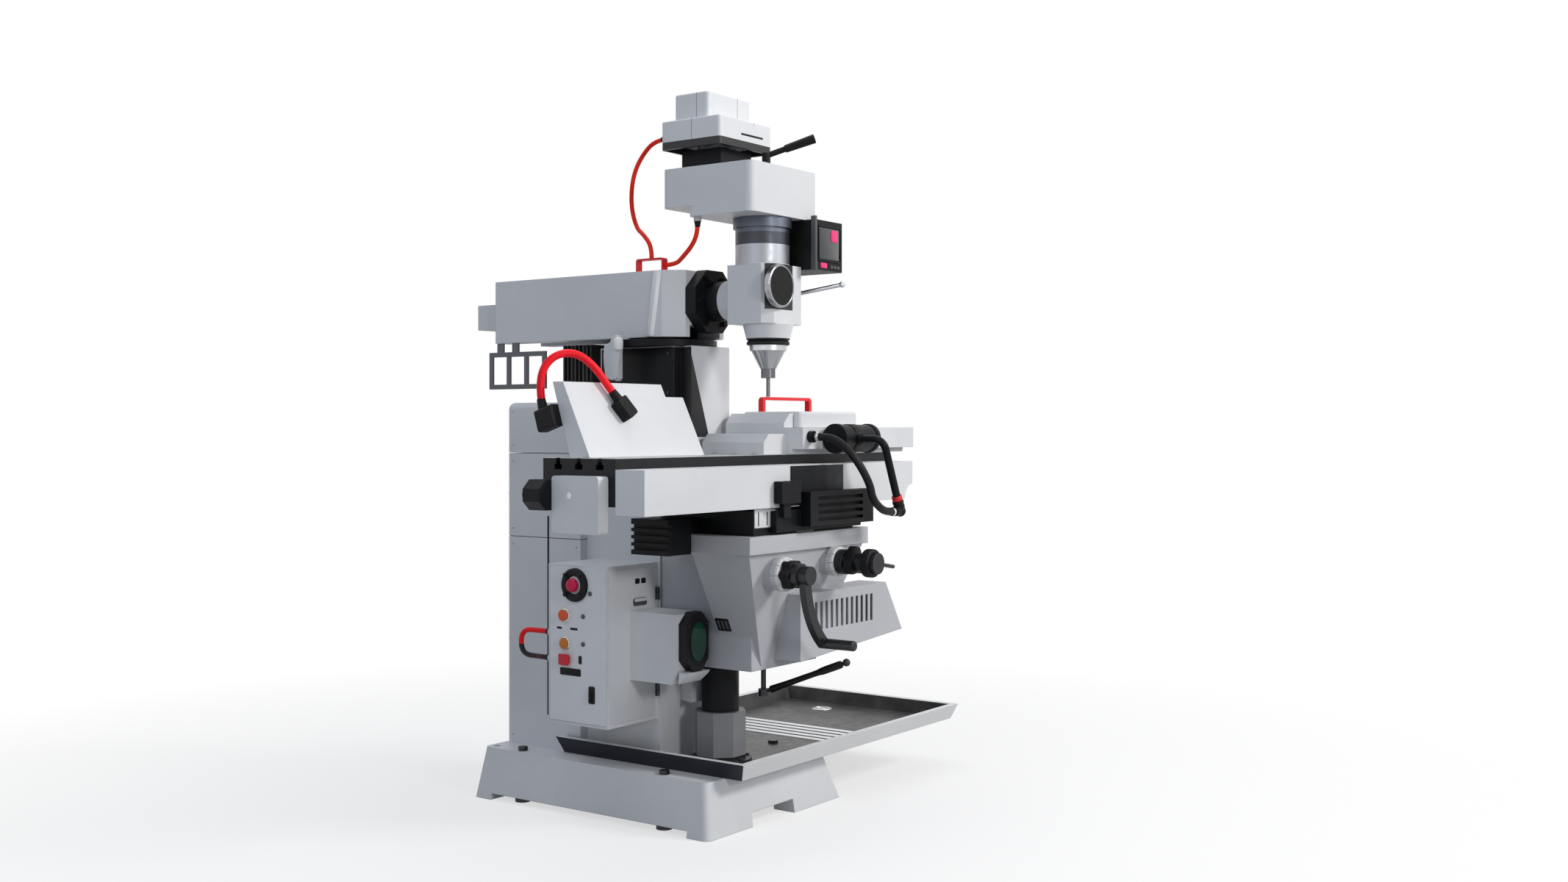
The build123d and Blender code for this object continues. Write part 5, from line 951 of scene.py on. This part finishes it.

# Slanted rib near the ram's front edge, in the whiter trim paint: a painted highlight along that edge
bm = bmesh.new()
ends = [
    [bm.verts.new(mm(*corner)) for corner in ((-139, y, z), (-150, y + 9, z), (-139, y + 34, z))]
    for y, z in ((-154, 1683), (-124, 1480))
]
join_rings(bm, ends)
for end in ends:
    bm.faces.new(end)
soften(bm, bm.edges, 0.8)
add_piece("ram_rib", bm, "ram", trim_paint)

# Broad grip and pale knob on the ram's hand lever
grip = [
    (20, -8), (17, 4), (10, 12), (1, 14), (-9, 10), (-15, 1), (-18, -10), (-26, -12), (-36, -15), (-43, -24),
    (-46, -50), (-44, -80), (-38, -112), (-29, -123), (-14, -128), (2, -127), (11, -119), (14, -100),
    (12, -84), (18, -60), (20, -32),
]
plates("ram_grip", "ram_handle", "light_paint", light, [(grip, (-191, -15, 1472), FRONT, UP, 13)], 4.0)
knob = [(0, 0), (9, 0.5), (13, 4), (14.5, 12), (15, 28), (13, 36), (8, 41), (0, 43)]
turned("ram_knob", "ram_handle", "light_paint", trim_paint, [((-203, -33, 1436), UP, knob)])

# Dark seam strip on the rear cabinet's left side
plates("cabinet_seam", "column", "black_rubber", black_hose, [
    (rounded_box(7, 642, 3), (-200, 271, 590), FRONT, UP, 1.6),
], 0.5)

# Sleeve and grip on the knee clamp's rod
start, stop = Vector((60, -400, 373)), Vector((131, -662, 479))
run = (stop - start).normalized()
sleeve = [
    (6.2, 0), (10.5, 0), (11.5, 4), (9.5, 60), (9.0, 150), (9.5, 168), (11.5, 180), (12, 196), (12, 244),
    (10, 250), (6.2, 251), (6.2, 0),
]
turned("clamp_sleeve", "knee_clamp", "black_rubber", black_hose, [(start + run * 26, run, sleeve)], 32)

# Black guard behind the saddle's drive, close to the apron, and the pale plate with slots on the saddle
plates("apron_guard", "saddle", "black_paint", black, [
    ([(-105, 966), (172, 966), (172, 1083), (-105, 1083)], (0, -621.5, 0), RIGHT, UP, 2.5),
], 0.8)
saddle_y, plate_thick = -600, 2
plates("saddle_plate", "saddle", "light_paint", light, [
    ([(-256, 906), (-138, 906), (-138, 962), (-256, 962)], (0, saddle_y, 0), RIGHT, UP, plate_thick),
], 0.6)
plates("saddle_slots", "saddle", "black_plastic", black_plastic, [
    (rounded_box(4, 40, 1.8), (x, saddle_y - plate_thick, 932), RIGHT, UP, 0.8) for x in (-238, -196)
], 0.2)

# Flat slats on the tray's floor and a strainer over its drain
slabs("tray_slats", "column", "light_paint", trim_paint, [
    ((388 + 42 * k, -478, 164), (412 + 42 * k, 130, 168)) for k in range(5)
], 1.2)
strainer = [
    (0, 2.2), (6, 2.2), (7, 0.6), (13, 0.6), (14, 2.2), (20, 2.2), (21, 0.6), (27, 0.6), (28, 2.6), (36, 2.6),
    (38, 1.4), (38, 0), (0, 0),
]
turned("tray_strainer", "column", "dark_steel", steel, [((880, -60, 166), UP, strainer)])

# Doors, louvres, hinges and latches on the rear cabinet's back
cabinet_y, door_thick = 465.0, 2
door_y = cabinet_y + door_thick
plates("cabinet_doors", "column", "light_paint", light, [
    (rounded_box(364, 636, 10), (0, cabinet_y, 502), LEFT, UP, door_thick),
    (rounded_box(364, 238, 10), (0, cabinet_y, 978), LEFT, UP, door_thick),
], 0.8)
slits = [(x, z) for x in (-95, 95) for z in range(262, 400, 22)] + [(0, z) for z in range(930, 1040, 22)]
plates("cabinet_slits", "column", "black_plastic", black_plastic, [
    (rounded_box(126, 8, 3.5), (x, door_y, z), LEFT, UP, 0.8) for x, z in slits
], 0.3)
slabs("cabinet_hoods", "column", "light_paint", light, [
    ((x - 64, door_y - 1, z + 3), (x + 64, door_y + 6, z + 8)) for x, z in slits
], 2.0)
turned("cabinet_hinges", "column", "dark_steel", steel, [
    ((186, door_y + 2, z), UP, hinge(20, 40)) for z in (240, 720, 890, 1036)
], 24)
latch = [(15, 0), (15, 3), (12, 5), (12, 8), (9, 10), (4, 10.5), (4, 8.5), (0, 8.5)]
turned("cabinet_latches", "column", "dark_steel", dark_steel, [
    ((-164, door_y, z), BACK, latch) for z in (500, 978)
], 32)


# Floor, background, lights and camera
def background_rays(tree):
    """1 for the rays that show the white background: camera, glossy and transmission rays."""
    ray = add_node(tree, "ShaderNodeLightPath").outputs
    seen = ray["Is Camera Ray"]
    for kind in ("Is Glossy Ray", "Is Transmission Ray"):
        seen = add_node(tree, "ShaderNodeMath", {0: seen, 1: ray[kind]}, operation="MAXIMUM").outputs[0]
    return seen


bpy.ops.mesh.primitive_plane_add(size=60.0)
floor = bpy.context.object
floor.name = "floor"
tone = bpy.data.materials.new("floor_tone")
tree = fresh_tree(tone)
seen = background_rays(tree)
pale = add_node(tree, "ShaderNodeMapRange", {"Value": seen, "To Min": 0.42, "To Max": 0.86})
matt = add_node(tree, "ShaderNodeBsdfDiffuse", {0: pale.outputs[0]})
glow = add_node(tree, "ShaderNodeEmission", {0: BACKDROP})
place = add_node(tree, "ShaderNodeTexCoord").outputs["Object"]
far = add_node(tree, "ShaderNodeVectorMath", {0: place}, operation="LENGTH").outputs["Value"]
fade = add_node(tree, "ShaderNodeMapRange", {
    "Value": far, "From Min": 0.8, "From Max": 3.2, "To Min": 0.62, "To Max": 1.0,
})
share = add_node(tree, "ShaderNodeMath", {0: seen, 1: fade.outputs[0]}, operation="MULTIPLY")
both = add_node(tree, "ShaderNodeMixShader", {0: share.outputs[0], 1: matt.outputs[0], 2: glow.outputs[0]})
add_node(tree, "ShaderNodeOutputMaterial", {0: both.outputs[0]})
floor.data.materials.append(tone)

world = bpy.data.worlds.new("studio")
scene.world = world
tree = fresh_tree(world)
soft = add_node(tree, "ShaderNodeBackground", {0: (0.80, 0.87, 1.0, 1.0), 1: 0.30})
white = add_node(tree, "ShaderNodeBackground", {0: BACKDROP, 1: 1.0})
both = add_node(tree, "ShaderNodeMixShader", {
    0: background_rays(tree), 1: soft.outputs[0], 2: white.outputs[0],
})
add_node(tree, "ShaderNodeOutputWorld", {0: both.outputs[0]})


def lamp(name, place, target, size, power, colour=(1.0, 1.0, 1.0)):
    """A square soft lamp, in metres and watts."""
    data = bpy.data.lights.new(name, "AREA")
    data.size = size
    data.energy = power
    data.color = colour
    obj = bpy.data.objects.new(name, data)
    scene.collection.objects.link(obj)
    obj.location = place
    obj.rotation_euler = (Vector(target) - Vector(place)).to_track_quat("-Z", "Y").to_euler()


lamp("key", (2.3, -5.5, 4.4), (0.0, -0.3, 1.0), 1.5, 240.0, (1.0, 0.985, 0.96))
lamp("front_fill", (-1.8, -6.0, 2.5), (0.0, -0.2, 1.6), 0.9, 72.0, (1.0, 0.99, 0.97))
lamp("top", (0.6, 0.4, 5.6), (0.0, -0.2, 1.0), 3.5, 84.0)
lamp("left_fill", (-5.0, -0.6, 4.0), (0.0, 0.0, 1.6), 3.0, 48.0, (0.78, 0.87, 1.0))
scene.view_settings.view_transform = "Standard"

eye = bpy.data.cameras.new("camera")
eye.sensor_width = 36.0
eye.lens = 36.0
eye.shift_y = -0.0094
eye.clip_end = 200.0
camera = bpy.data.objects.new("camera", eye)
scene.collection.objects.link(camera)
camera.location = (-3.865, -3.299, 1.2)
camera.rotation_euler = Vector((0.812, 0.5835, 0.0)).to_track_quat("-Z", "Y").to_euler()
scene.camera = camera
